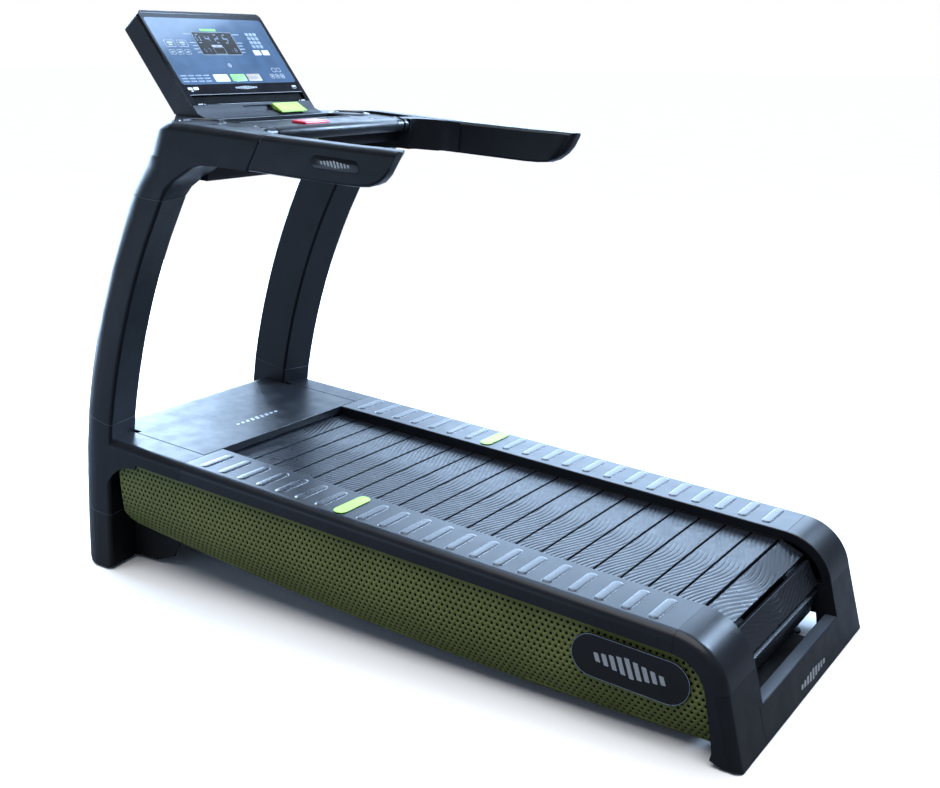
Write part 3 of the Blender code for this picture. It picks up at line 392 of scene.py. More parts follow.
# ---------------- belt
PITCH = 0.0766
SLAT_GAP = 0.006
SLAT_THICK = 0.0145
SLAT_EDGE = 0.0022  # radius of a slat's eased edges
SLAT_EDGE_FIRST = 0.0007  # width of the first facet of that edge at a slat's ends
SLAT_EDGE_MID = 0.3  # along the long sides, how near its middle point is to the corner
LINE_STEP = 0.0133  # from one tread line to the next, along the belt
LINE_START = 0.0048  # first line behind a slat's front edge at the apex
LINE_REACH = 0.037  # half of how far a line comes forward towards the belt's edges
LINE_APEX = 0.010  # the lines' foremost bend lies this far right of the middle
LINE_DEPTH = 0.0013
LINE_NARROWNESS = 5  # power that makes a groove narrower than the land beside it
PLAIN_END = 0.006  # no grooves this near a slat's ends
LINE_FADE = 0.004  # they fade in over this width
STRAP_X = 0.206  # middle of each carrier strap
STRAP_THICK = 0.0028
STRAP_SECTION = ((-0.05, -STRAP_THICK), (0.05, -STRAP_THICK), (0.05, 0), (-0.05, 0))
STRAP_SHORT = 0.004  # a flat strap ends this far from an axle's line
SLATS_ON_DRUM = 4
BELT_HALF = BELT_HIGH.x


def line_front(x):
    """How far forward a tread line lies at x, compared with its apex."""
    share = min(1, abs(x - LINE_APEX) / BELT_HALF)
    return LINE_REACH * (1 - cos(pi * share))


def tread_height(x, y):
    """Height of the slat's top, zero on the lands and lower in the grooves."""
    half = (PITCH - SLAT_GAP) / 2
    phase = (half - LINE_START - (y - line_front(x))) / LINE_STEP
    groove = (0.5 + 0.5 * cos(2 * pi * phase)) ** LINE_NARROWNESS
    margin = min(1, max(0, (BELT_HALF - PLAIN_END - abs(x)) / LINE_FADE))
    return -LINE_DEPTH * groove * margin


def slat_mesh(columns, rows):
    """One slat, its top at z = 0, with eased edges and the tread's contour grooves."""
    half = (PITCH - SLAT_GAP) / 2
    xs = [-BELT_HALF, -BELT_HALF + SLAT_EDGE_FIRST, -BELT_HALF + SLAT_EDGE]
    inner = BELT_HALF - SLAT_EDGE
    xs += [-inner + 2 * inner * i / columns for i in range(1, columns)]
    xs += [inner, BELT_HALF - SLAT_EDGE_FIRST, BELT_HALF]
    reach = half - SLAT_EDGE
    mid = SLAT_EDGE * SLAT_EDGE_MID
    rings = []
    for x in xs:
        side = max(0, abs(x) - inner) / SLAT_EDGE
        sink = -SLAT_EDGE * (1 - sqrt(max(0, 1 - side * side)))
        ring = [(x, -half, -SLAT_THICK), (x, -half, sink - SLAT_EDGE)]
        ring.append((x, -half + mid, sink - mid))
        for i in range(rows + 1):
            y = -reach + 2 * reach * i / rows
            ring.append((x, y, sink + tread_height(x, y)))
        ring.append((x, half - mid, sink - mid))
        ring += [(x, half, sink - SLAT_EDGE), (x, half, -SLAT_THICK)]
        rings.append(ring)
    return loft(rings)


def turned_straps(angle0, angle1, centre, radius, steps):
    """The two straps that carry the slats round a drum, from angle0 to angle1 past the top."""
    meshes = []
    for x in (-STRAP_X, STRAP_X):
        rings = []
        for i in range(steps + 1):
            a = angle0 + (angle1 - angle0) * i / steps
            out = (-sin(a), cos(a))
            rings.append([(x + dx, centre[0] + (radius + dr) * out[0], centre[1] + (radius + dr) * out[1])
                          for dx, dr in STRAP_SECTION])
        meshes.append(loft(rings))
    return meshes


def flat_straps(z):
    """The two straps along a flat run, their upper faces at z."""
    ends = (REAR_AXLE[0] + STRAP_SHORT, FRONT_AXLE[0] - STRAP_SHORT)
    return [loft([[(x + dx, y, z + dz) for dx, dz in STRAP_SECTION] for y in ends])
            for x in (-STRAP_X, STRAP_X)]


def build_belt():
    """The slats and straps of the belt's four runs; the slats below, out of sight, are coarser."""
    detailed = slat_mesh(80, 76)
    plain = slat_mesh(24, 6)
    pitch_r = BELT_HIGH.z - SLAT_THICK - FRONT_AXLE[1]
    slat_top = pitch_r + SLAT_THICK
    step = PITCH / pitch_r

    def placed(mesh, y, z, angle, lift):
        copy = mesh.copy()
        copy.transform(Matrix.Translation((0, y, z)) @ Matrix.Rotation(angle, 4, "X")
                       @ Matrix.Translation((0, 0, lift)))
        return copy

    count = round((FRONT_AXLE[0] - REAR_AXLE[0]) / PITCH)
    top = [placed(detailed, REAR_AXLE[0] + PITCH * (i + 0.5), BELT_HIGH.z, 0, 0) for i in range(count)]
    seat = BELT_HIGH.z - SLAT_THICK
    top += flat_straps(seat)
    piece("belt_slats_top", joined(top), "slat_rubber", body="belt_top", replaces=["belt_top_run"])

    low = FRONT_AXLE[1] - slat_top
    bottom = [placed(plain, REAR_AXLE[0] + PITCH * i, low, pi, 0) for i in range(count + 1)]
    bottom += flat_straps(low + SLAT_THICK + STRAP_THICK)
    piece("belt_slats_bottom", joined(bottom), "slat_rubber", body="belt_bottom",
          replaces=["belt_bottom_run"])

    for name, centre, way in (("rear", REAR_AXLE, 1), ("front", FRONT_AXLE, -1)):
        turn = [placed(detailed, *centre, way * step * (0.5 + k), slat_top) for k in range(SLATS_ON_DRUM)]
        turn += turned_straps(way * step * 0.06, way * step * (SLATS_ON_DRUM - 0.06), centre, pitch_r, 28)
        piece(f"belt_slats_{name}_turn", joined(turn), "slat_rubber", body=f"{name}_turn",
              replaces=[f"belt_{name}_wrap"])


# ---------------- foot rails
RIB_STEP = 0.0709  # pitch of the raised grip ribs along a rail
RIB_FIRST = 0.060  # first rib's distance behind the front seam
RIB_COUNT = 21
MARKER_RIB = 7  # the step marker takes this rib's place
RIB_X = 0.3648
RIB_HALF = 0.063
RIB_RADIUS = 0.0150
RIB_PROFILE = ((0, -0.0006), (0.0002, 0.0001), (0.0016, 0.0007), (0.0034, 0.0015), (0.0050, 0.0020),
               (0.0068, 0.0022), (0.0105, 0.0024), (0.0142, 0.0025))    # inset and height


def rib_mesh(x, y):
    """A raised grip rib with soft flanks and a slightly domed crown."""
    rings = []
    for inset, z in RIB_PROFILE:
        ring = rounded(RIB_HALF - inset, RIB_RADIUS - inset, RIB_RADIUS - inset, 6)
        rings.append([(x + dx, y + dy, z) for dx, dy in ring])
    return loft(rings)


def build_rails():
    """The rail covers with their ribs and step markers, and the rear caps."""
    for side, sign in SIDES.items():
        refined(f"rail_cover_{side}", 0.0010, "rail_shell")
        ribs = [rib_mesh(sign * RIB_X, -RIB_FIRST - RIB_STEP * i)
                for i in range(RIB_COUNT) if i != MARKER_RIB]
        # the ribs' lighter colour is painted sheen; their shape is real
        piece(f"grip_ribs_{side}", joined(ribs), "rib_painted_sheen", sharp=80)
        refined(f"step_marker_{side}", 0, "lime_plastic")
        refined(f"rear_cap_{side}", 0.0012, "rail_shell")


# ---------------- perforated side panels
HOLE_PITCH = 0.0166  # between holes along a row
ROW_PITCH = 0.0145  # between rows, down the sheet
HOLE_RADIUS = 0.0042
HOLE_SIDES = 8
FIRST_ROW = -0.0712  # height of the top row
HOLE_PHASE = -1.110  # a hole of the first row lies here along the deck
SHEET = 0.0012
PANEL_ENDS_LOW = -0.262  # height of the lower edge at its ends
PANEL_MIDDLE = (-0.70, 0.98)  # centre and half length of the lower edge's bow
PANEL_LEAN = 0.006  # how far its top lies inside its widest line
PANEL_TUCK = 0.042  # how far its foot is tucked under
TUCK_START = 0.45  # share of the height, from the top, where the tuck begins
TUCK_POWER = 2.2
REAR_ARC = (0.117, -0.145)  # radius of the rear cap's inner arc and its centre's height
REAR_TOP = -1.6590  # rear end of that arc along the deck
REAR_EDGE = ((0.34, -0.150), (0.55, -0.185), (0.80, -0.220))  # from there to the toe: share, height
EDGE_MARGIN = 0.0065  # no hole's centre lies nearer the edge
FRONT_ROUND = 0.070  # radius of the sheet's upper front corner
LOW_ROUND = 0.036  # radius of its lower front corner
SHADE_SHEET_GAP = 0.007  # from the sheet to the dark sheet behind it, painted shade seen through the holes
# thickness of the dark sheet of painted shade
SHADE_SHEET_THICKNESS = 0.001


def panel_edge(y):
    """Height of the panel's bowed lower edge."""
    middle, half = PANEL_MIDDLE
    return PANEL_ENDS_LOW + (PANEL_LOW.z - PANEL_ENDS_LOW) * (1 - ((y - middle) / half) ** 2)


def panel_x(y, z):
    """Barrel-shaped section: nearly flat above, tucked under at the foot."""
    share = (z - PANEL_HIGH.z) / (panel_edge(y) - PANEL_HIGH.z)
    tuck = max(0, (share - TUCK_START) / (1 - TUCK_START)) ** TUCK_POWER
    return PANEL_HIGH.x - PANEL_LEAN * (1 - share) ** 2 - PANEL_TUCK * tuck


def panel_rows():
    """Heights of the rows of holes, a row pitch apart along the curved sheet."""
    y = PANEL_MIDDLE[0]
    heights = [FIRST_ROW]
    z = FIRST_ROW
    walked = 0.0
    step = 0.0005
    while z > PANEL_LOW.z:
        walked += hypot(step, panel_x(y, z - step) - panel_x(y, z))
        z -= step
        if walked >= ROW_PITCH:
            heights.append(z)
            walked -= ROW_PITCH
    return heights


def panel_outline():
    """The sheet's edge in the side view, its rear end following the rear cap."""
    cap_low = spread("rear_cap_right", DECK)[0]
    radius, middle_z = REAR_ARC
    front, top = PANEL_HIGH.y, PANEL_HIGH.z
    points = []
    for i in range(9, -1, -1):
        a = radians(10 * i)
        points.append((front - FRONT_ROUND + FRONT_ROUND * sin(a),
                       top - FRONT_ROUND + FRONT_ROUND * cos(a)))
    points.append((RAIL_LOW.y - 0.02, top))
    for i in range(9):
        a = radians(100 + 60 * i / 8)
        points.append((RAIL_LOW.y + radius * cos(a), middle_z + radius * sin(a)))
    toe = max(PANEL_LOW.y, cap_low.y)
    for share, z in (*REAR_EDGE, (1.0, panel_edge(toe) + 0.001)):
        points.append((REAR_TOP + (toe - REAR_TOP) * share, z))
    steps = 60
    for i in range(steps + 1):
        y = toe + (front - LOW_ROUND - toe) * i / steps
        points.append((y, panel_edge(y)))
    for i in range(1, 8):
        a = radians(90 * i / 7)
        points.append((front - LOW_ROUND * (1 - sin(a)),
                       panel_edge(front) + LOW_ROUND * (1 - cos(a))))
    return points


def inside(point, outline):
    """Whether a point lies inside the outline and clear of its edge."""
    y, z = point
    crossings = 0
    for (y0, z0), (y1, z1) in zip(outline, outline[1:] + outline[:1]):
        if (z0 > z) != (z1 > z) and y < y0 + (z - z0) * (y1 - y0) / (z1 - z0):
            crossings += 1
        ey, ez = y1 - y0, z1 - z0
        length = ey * ey + ez * ez
        t = 0 if not length else min(1, max(0, ((y - y0) * ey + (z - z0) * ez) / length))
        if hypot(y - y0 - t * ey, z - z0 - t * ez) < EDGE_MARGIN:
            return False
    return crossings % 2 == 1


def inner_grid(outline):
    """Points inside the sheet, so that the dark sheet of painted shade behind it can follow the barrel shape.
    """
    columns, rows = 50, 14
    grid = []
    for i in range(1, columns):
        y = PANEL_LOW.y + (PANEL_HIGH.y - PANEL_LOW.y) * i / columns
        for k in range(1, rows):
            z = PANEL_HIGH.z + (panel_edge(y) - PANEL_HIGH.z) * k / rows
            if inside((y, z), outline):
                grid.append(Vector((y, z)))
    return grid


def build_side_panels():
    """Sheet steel panels with every hole cut, and a dark sheet behind them: painted shade for the inside seen
    through the holes.
    """
    outline = panel_outline()
    points = [Vector(p) for p in outline]
    edges = [(i, (i + 1) % len(points)) for i in range(len(points))]
    for row, z in enumerate(panel_rows()):
        first = HOLE_PHASE + (0.5 * HOLE_PITCH if row % 2 else 0)
        shift = ceil((PANEL_LOW.y - first) / HOLE_PITCH)
        y = first + shift * HOLE_PITCH
        while y < PANEL_HIGH.y:
            if inside((y, z), outline):
                start = len(points)
                for k in range(HOLE_SIDES):
                    a = 2 * pi * (k + 0.5) / HOLE_SIDES
                    points.append(Vector((y + HOLE_RADIUS * cos(a), z + HOLE_RADIUS * sin(a))))
                    edges.append((start + k, start + (k + 1) % HOLE_SIDES))
            y += HOLE_PITCH
    flat, _, faces, origins, *_ = delaunay_2d_cdt(points, edges, [], 1, 1e-6)
    hole_of = [(ids[0] - len(outline)) // HOLE_SIDES if ids and ids[0] >= len(outline) else None
               for ids in origins]
    triangles = [tuple(face) for face in faces
                 if None in {hole_of[i] for i in face} or len({hole_of[i] for i in face}) > 1]
    solid, _, filled, *_ = delaunay_2d_cdt(points[:len(outline)] + inner_grid(outline),
                                           edges[:len(outline)], [], 1, 1e-6)
    for side, sign in SIDES.items():
        # painted shade: a near-black sheet just inside each panel, standing in for the shaded inside seen
        # through the holes
        backing = bpy.data.meshes.new("backing")
        backing.from_pydata([(sign * (panel_x(*p) - SHADE_SHEET_GAP), p[0], p[1]) for p in solid], [],
                            [tuple(face) for face in filled])
        behind = piece(f"panel_painted_shade_{side}", backing, "black_plastic")
        shade_sheet = behind.modifiers.new("sheet", "SOLIDIFY")
        shade_sheet.thickness = SHADE_SHEET_THICKNESS
        mesh = bpy.data.meshes.new("sheet")
        mesh.from_pydata([(sign * panel_x(*p), p[0], p[1]) for p in flat], [], triangles)
        work = bmesh.new()
        work.from_mesh(mesh)
        bmesh.ops.recalc_face_normals(work, faces=work.faces)
        outward = sum((face.normal.x for face in work.faces), 0.0)
        if outward * sign < 0:
            bmesh.ops.reverse_faces(work, faces=work.faces)
        work.to_mesh(mesh)
        work.free()
        obj = piece(f"perforated_panel_{side}", mesh, "green_steel",
                    sharp=50, replaces=[f"side_panel_{side}"])
        wall = obj.modifiers.new("sheet", "SOLIDIFY")
        wall.thickness = SHEET
        wall.offset = -1


# ---------------- side badges
def side_place(sign, x):
    """A frame on the outer face at x: its X runs along the deck, its Y up and its Z outwards."""
    turn = Matrix(((0, 0, sign), (1, 0, 0), (0, 1, 0))).to_4x4()
    return DECK @ Matrix.Translation((sign * x, 0, 0)) @ turn


BARS = 9
BAR_FALL = 0.14  # how much shorter each bar is than the next one inwards
BAR_LEAN = 0.4
BAR_LEVELS = (-0.0003, 0.0006)  # its lower and upper face, from the surface that it is on


def slanted_bars(centre, pitch, half_wide, half_tall, way=1):
    """A plain row of leaning bars, tallest in the middle."""
    bars = []
    for k in range(BARS):
        off = k - (BARS - 1) / 2
        at = (centre[0] + pitch * off, centre[1])
        tall = half_tall * (1 - BAR_FALL * abs(off))
        bars.append(plate(at, half_wide, tall, half_wide * 0.35, *BAR_LEVELS, shear=-BAR_LEAN * way))
    return joined(bars)


def build_badges():
    """The oval plates on the side panels, each with a rim and a row of bars."""
    centre = ((BADGE_LOW.y + BADGE_HIGH.y) / 2, (BADGE_LOW.z + BADGE_HIGH.z) / 2)
    half_y = (BADGE_HIGH.y - BADGE_LOW.y) / 2
    half_z = (BADGE_HIGH.z - BADGE_LOW.z) / 2
    for side, sign in SIDES.items():
        place = side_place(sign, BADGE_HIGH.x)
        refined(f"side_badge_{side}", 0.0012, "gloss_black")
        # a real raised rim, its pale grey all round a painted highlight for light catching its edge
        rim = pill_band(centre, half_y - 0.0016, half_z - 0.0016, 0.0013, -0.0008, 0.0004, 14)
        piece(f"badge_rim_painted_highlight_{side}", rim, "print_grey", place)
        piece(f"badge_bars_{side}", slanted_bars(centre, 0.021, 0.0062, 0.024, sign),
              "silver_ink", place)


LIP = (-1.7195, -0.200)  # upper rear edge of the lower cover, between the feet
LIP_FOOT = (-1.7480, -0.290)  # the same face lower down
LEDGE_FRONT = (-1.6855, -0.2030)
MOTIF_SHIFT = 0.050  # the rear cover's bars lie right of its middle


def build_cover_motifs():
    """A lighter cap on the rear cover's ledge, a painted reflection of the bright background, and the badge's
    bars on the two cross covers.
    """
    half = REAR_HIGH.x - (RAIL_HIGH.x - RAIL_LOW.x) - 0.001
    ledge = [(LIP[0] + 0.0022, LIP[1] - 0.0006), (LIP[0] + 0.0030, LIP[1] + 0.0006),
             (LEDGE_FRONT[0] - 0.0010, LEDGE_FRONT[1] + 0.0010), (LEDGE_FRONT[0], LEDGE_FRONT[1] - 0.0006)]
    mesh = loft([[(x, y, z) for y, z in ledge] for x in (-half, half)])
    # painted reflection: a lighter plate on the ledge standing in for the light it reflects
    piece("rear_ledge_reflection_cap", mesh, "ledge_painted_reflection")
    low, high = spread("front_cover", DECK)
    mesh = slanted_bars((0, low.y + 0.117), 0.022, 0.0062, 0.0105, -1)
    piece("front_cover_bars", mesh, "silver_ink",
          DECK @ Matrix.Translation((0, 0, high.z)))
    lean = atan2(LIP[0] - LIP_FOOT[0], LIP[1] - LIP_FOOT[1])
    turn = Matrix.Rotation(pi / 2 - lean, 4, "X")
    place = DECK @ Matrix.Translation((MOTIF_SHIFT, *LIP_FOOT)) @ turn
    piece("rear_cover_bars", slanted_bars((0, 0.030), 0.021, 0.0058, 0.0125, -1),
          "silver_ink", place)


# ---------------- covers and posts
def build_covers():
    """Every cover, post and foot whose CAD shape is right, with its edges eased."""
    for name in ("upright", "shoulder_cover", "base_cover", "handrail", "handrail_corner"):
        for side in SIDES:
            refined(f"{name}_{side}", 0.0013)
    for name in ("front_cover", "console_tray", "belly_pan"):
        refined(name, 0.0012)
    for name in ("console_housing", "console_apron"):
        refined(name, 0.0012, "console_shell")
    # the drums' dark metal is painted shade for the gaps at the belt's turns
    for name in ("front_drum", "rear_drum"):
        refined(name, 0.0010, "drum_painted_shade")
    refined("rear_lower_cover", 0.0010, "satin_shell", merge=3.0)
    # painted shade: the beam gets the near-black rubber look so it reads as shaded under the deck
    refined("front_base_beam", 0.002, "foot_rubber")
    for side in SIDES:
        refined(f"frame_rail_{side}", 0.0015)
        refined(f"transport_wheel_{side}", 0.002)
    for corner in ("front_left", "front_right", "rear_left", "rear_right"):
        refined(f"screw_foot_{corner}", 0.0012)


END_DEPTH = 0.0002  # points this near a node's end belong to its end face
SEAM_SECTION = ((0.0004, -0.0010), (0.0004, 0.0004), (-0.0010, 0.0004), (-0.0010, -0.0010))
POST_FOOT_LEAN = radians(7.5)


def end_ring(name, way):
    """The corners of the node's end that lies furthest along way, in order round it."""
    back = DECK.inverted()
    points = [back @ vertex.co for vertex in nodes[name].data.vertices]
    reach = max(p.dot(way) for p in points)
    found = {tuple(round(c, 5) for c in p): p for p in points if p.dot(way) > reach - END_DEPTH}
    ring = list(found.values())
    middle = sum(ring, Vector()) / len(ring)
    across = way.cross(Vector((1, 0, 0)))
    ring.sort(key=lambda p: atan2((p - middle).dot(across), p.x - middle.x))
    return ring, middle


def seam_highlight_line(name, way):
    """A fine pale line round the end of a cover, a painted highlight on the seam's edge."""
    ring, middle = end_ring(name, way)
    rings = []
    for grow, lift in SEAM_SECTION:
        rings.append([p + (p - middle).normalized() * grow + way * lift for p in ring])
    return loft(rings + [rings[0]], caps=False)


def build_seam_lines():
    """Painted highlight lines along the seams between a post, its shoulder cover, its base cover and its foot
    cover.
    """
    level = Vector((0, 0, 1))
    along_post = Vector((0, sin(POST_FOOT_LEAN), -cos(POST_FOOT_LEAN)))
    for side in SIDES:
        lines = [seam_highlight_line(f"foot_cover_{side}", level), seam_highlight_line(f"upright_{side}", level),
                 seam_highlight_line(f"upright_{side}", along_post)]
        piece(f"seam_lines_{side}", joined(lines), "seam_painted_highlight")


PILL_HALF = 0.074  # inset pill on each handrail's outer face
PILL_TALL = 0.0165
PILL_AT = (0.185, 0.052)  # its middle, from the handrail's rear end and underside


def build_handrail_pills():
    """The inset oval on each handrail's outer face, with its rim and bars."""
    low, high = spread("handrail_right", DECK)
    for side, sign in SIDES.items():
        place = side_place(sign, high.x)
        centre = (low.y + PILL_AT[0], low.z + PILL_AT[1])
        pad = plate(centre, PILL_HALF, PILL_TALL, PILL_TALL, -0.0012, 0.0003, 0.0003, 8)
        piece(f"handrail_inlay_{side}", pad, "gloss_black", place=place)
        rim = pill_band(centre, PILL_HALF + 0.0012, PILL_TALL + 0.0012, 0.0010, -0.0010, 0.0005, 10)
        piece(f"handrail_inlay_rim_{side}", rim, "satin_shell", place=place)
        piece(f"handrail_inlay_bars_{side}", slanted_bars(centre, 0.0105, 0.0030, 0.0085, sign),
              "silver_ink", place)


# ---------------- grip bar
def turned(profile):
    """A turned piece about X; the profile lists (x, radius)."""
    steps = 48
    rings = []
    for x, r in profile:
        rings.append([(x, r * cos(2 * pi * i / steps), r * sin(2 * pi * i / steps))
                      for i in range(steps)])
    return loft(rings)


SLEEVE_END = 0.272  # half the length of the bar's grip sleeve


def build_grip_bar():
    """The crossbar with its sleeve, the groove at each end of it and the two end collars."""
    centre = (BAR_LOW + BAR_HIGH) / 2
    radius = (BAR_HIGH.z - BAR_LOW.z) / 2
    end, sleeve = BAR_HIGH.x, SLEEVE_END
    half = [(end, radius * 0.6), (end, radius + 0.0012), (end - 0.001, radius + 0.0022),
            (end - 0.018, radius + 0.0022), (end - 0.019, radius + 0.0012), (end - 0.019, radius - 0.001),
            (sleeve + 0.0016, radius - 0.001), (sleeve + 0.0012, radius - 0.0026),
            (sleeve, radius - 0.0026), (sleeve - 0.0005, radius - 0.0006), (sleeve - 0.0020, radius)]
    profile = half + [(-x, r) for x, r in reversed(half)]
    mesh = turned(list(reversed(profile)))
    mesh.transform(Matrix.Translation(centre))
    piece("grip_bar", mesh, "satin_shell", replaces=["grip_crossbar"])


# ---------------- tray
SCREW_RADIUS = 0.0042
SCREW_Y = -0.098
SCREW_XS = (0.262, 0.376)  # on the right; the left ones mirror them


def screw(x, y, z):
    """A socket head sunk into a cover, its hexagon showing."""
    head = ring_band((x, y), SCREW_RADIUS, SCREW_RADIUS * 0.52, z - 0.002, z + 0.0011, 0.0006)
    pit = [(x + SCREW_RADIUS * 0.54 * cos(pi * k / 3),
            y + SCREW_RADIUS * 0.54 * sin(pi * k / 3)) for k in range(6)]
    floor = loft([[(px, py, z - 0.002) for px, py in pit], [(px, py, z - 0.0008) for px, py in pit]])
    return [head, floor]


CUP_AT = (0.322, 0.040)  # centre of the right cup well, on the tray
CUP_RADIUS = 0.052
CUP_FLOOR = 0.904
SHELF = (0.245, 0.040)  # half sizes of the shallow shelf between the cups
SHELF_MIDDLE = (0, 0.020)


def build_tray():
    """The cups' liners, the shelf, the screws, the stop button, the safety key and the green tab."""
    top = TRAY_HIGH.z
    steps = 64
    profile = [(0.0125, top - 0.0005), (0.0118, top + 0.0018), (0.0095, top + 0.0036),
               (0.0060, top + 0.0044), (0.0026, top + 0.0038), (0.0002, top + 0.0018),
               (-0.0014, top - 0.0012), (-0.0020, top - 0.0060), (-0.0045, CUP_FLOOR + 0.0060),
               (-0.0090, CUP_FLOOR + 0.0022), (0.004 - CUP_RADIUS, CUP_FLOOR + 0.0016)]
    for side, sign in SIDES.items():
        rings = []
        for grow, z in profile:
            r = CUP_RADIUS + grow
            rings.append([(sign * CUP_AT[0] + r * cos(2 * pi * i / steps),
                           CUP_AT[1] + r * sin(2 * pi * i / steps), z) for i in range(steps)])
        piece(f"cup_liner_{side}", loft(rings), "rail_shell")
    rim = pill_band(SHELF_MIDDLE, SHELF[0] + 0.0048, SHELF[1] + 0.0048, 0.0045, top - 0.0010, top + 0.0026,
                    radius=0.009)
    ease(piece("shelf_rim", rim, "console_shell"), 0.0010)
    mat = plate(SHELF_MIDDLE, SHELF[0] - 0.0015, SHELF[1] - 0.0015, 0.004, top - 0.0092, top - 0.0078, 0.0006)
    piece("shelf_mat", mat, "shade_and_mat_black")
    screws = []
    for sign in (-1, 1):
        for x in SCREW_XS:
            screws += screw(sign * x, SCREW_Y, top)
    piece("tray_screws", joined(screws), "bare_steel")
    refined("stop_button", 0.0022, "stop_red", 3)
    refined("safety_key", 0.0018, "lime_plastic", 3)
    tab = plate((0, 0), 0.0240, 0.0062, 0.0030, -0.0005, 0.0024, 0.0008)
    turn = Matrix.Rotation(pi / 2, 4, "X")
    place = DECK @ Matrix.Translation((-0.082, TRAY_LOW.y, BAR_LOW.z - 0.0075)) @ turn
    piece("tray_tab", tab, "lime_plastic", place=place)


# ---------------- console face
GLASS_UP = -0.0003  # the glass's surface below the face
INK = 0.00035  # height of a printed or moulded mark
PRINT = (GLASS_UP - INK, GLASS_UP + INK)  # its lower and upper face

# A digit's seven bars: across, up, and whether upright.
SEGMENTS = ((0, 1, 0), (0.5, 0.5, 1), (0.5, -0.5, 1), (0, -1, 0), (-0.5, -0.5, 1), (-0.5, 0.5, 1),
            (0, 0, 0))
# The bars that are lit for each digit from 0 to 9.
DIGITS = ((0, 1, 2, 3, 4, 5), (1, 2), (0, 1, 6, 4, 3), (0, 1, 6, 2, 3), (5, 6, 1, 2), (0, 5, 6, 2, 3),
          (0, 5, 4, 3, 2, 6), (0, 1, 2), (0, 1, 2, 3, 4, 5, 6), (0, 1, 2, 3, 5, 6))


def digit(x, s, high, value):
    """The lit bars of a digit, its middle at x across and s up the face."""
    wide = high * 0.52
    meshes = []
    for number in DIGITS[value]:
        across, up, upright = SEGMENTS[number]
        at = (x + across * wide, s + up * high / 2 * (0.5 if upright else 1))
        if upright:
            size = (high * 0.052, high * 0.20)
        else:
            size = (wide * 0.38, high * 0.052)
        meshes.append(plate(at, *size, min(size) * 0.8, PRINT[0], GLASS_UP + INK * 1.2))
    return meshes


def key(x, s, half_x, half_y, radius):
    """A key that stands a little proud of the glass."""
    return plate((x, s), half_x, half_y, radius, *PRINT, 0.0001)


def keypad(x0, x1, s0, s1, columns, rows, gap):
    """A grid of small raised keys between two corners."""
    wide = (x1 - x0 - gap * (columns - 1)) / columns
    tall = (s0 - s1 - gap * (rows - 1)) / rows
    meshes = []
    for i in range(columns):
        for k in range(rows):
            at = (x0 + wide / 2 + i * (wide + gap), s0 - tall / 2 - k * (tall + gap))
            meshes.append(key(*at, wide / 2, tall / 2, min(wide, tall) * 0.22))
    return meshes


def print_on_glass(name, meshes, look):
    """One piece of all these marks, which lie in the console face's frame."""
    piece(name, joined(meshes), look, FACE)


def outlined(x, s, half_x, half_y, width, radius=0.003):
    """A printed outline of a rounded key."""
    return pill_band((x, s), half_x, half_y, width, *PRINT, 4, radius)


def mark(x, s, half_x, half_y):
    """A small printed bar."""
    return plate((x, s), half_x, half_y, min(half_x, half_y) * 0.5, *PRINT)


WINDOW = (-0.0095, -0.1165)  # middle of the display window, across and down the face
WINDOW_HALF = (0.0825, 0.0405)
KEY_ROW = -0.241  # middle of the three coloured keys, and half their height
KEY_TALL = 0.0128
WHITE_X, GREEN_X, TAN_X = -0.0755, -0.0035, 0.0640
# The labels beside the window: height above its middle, half length.
SIDE_LABELS = ((0.034, 0.0150), (0.003, 0.0125), (-0.008, 0.0090), (-0.020, 0.0105), (-0.032, 0.0070))


def build_display():
    """The overlay, the dark window with its figures, and the labels at both sides of it."""
    overlay = plate((-0.0030, -0.1435), 0.2435, 0.1185, 0.010, PRINT[0], GLASS_UP + 0.00015, steps=8)
    print_on_glass("display_overlay", [overlay], "glass_panel")
    window = plate(WINDOW, *WINDOW_HALF, 0.004, PRINT[0], GLASS_UP + 0.00022)
    print_on_glass("display_window", [window], "display_dark")
    x0, s0 = WINDOW
    figures = []
    for i, value in enumerate((0, 4, 2, 5)):
        figures += digit(x0 - 0.0105 + 0.0375 * (i - 1.5), s0 + 0.0175, 0.0290, value)
    for i, value in enumerate((0, 7)):
        figures += digit(x0 - 0.064 + 0.018 * i, s0 - 0.024, 0.0130, value)
        figures += digit(x0 + 0.046 + 0.018 * i, s0 - 0.024, 0.0130, value + 1)
    print_on_glass("display_figures", figures, "print_grey")
    frames = [outlined(x0, s0, WINDOW_HALF[0] + 0.0010, WINDOW_HALF[1] + 0.0010, 0.0011, 0.005),
              outlined(x0 - 0.0040, s0 - 0.0265, 0.0230, 0.0125, 0.0012, 0.002),
              mark(x0 - 0.0060, s0 - 0.0085, 0.0220, 0.0034)]
    for side in (-1, 1):
        for up, half in SIDE_LABELS:
            frames.append(mark(x0 + side * (WINDOW_HALF[0] + 0.0040 + half), s0 + up, half, 0.0013))
    print_on_glass("display_frames", frames, "silver_ink")


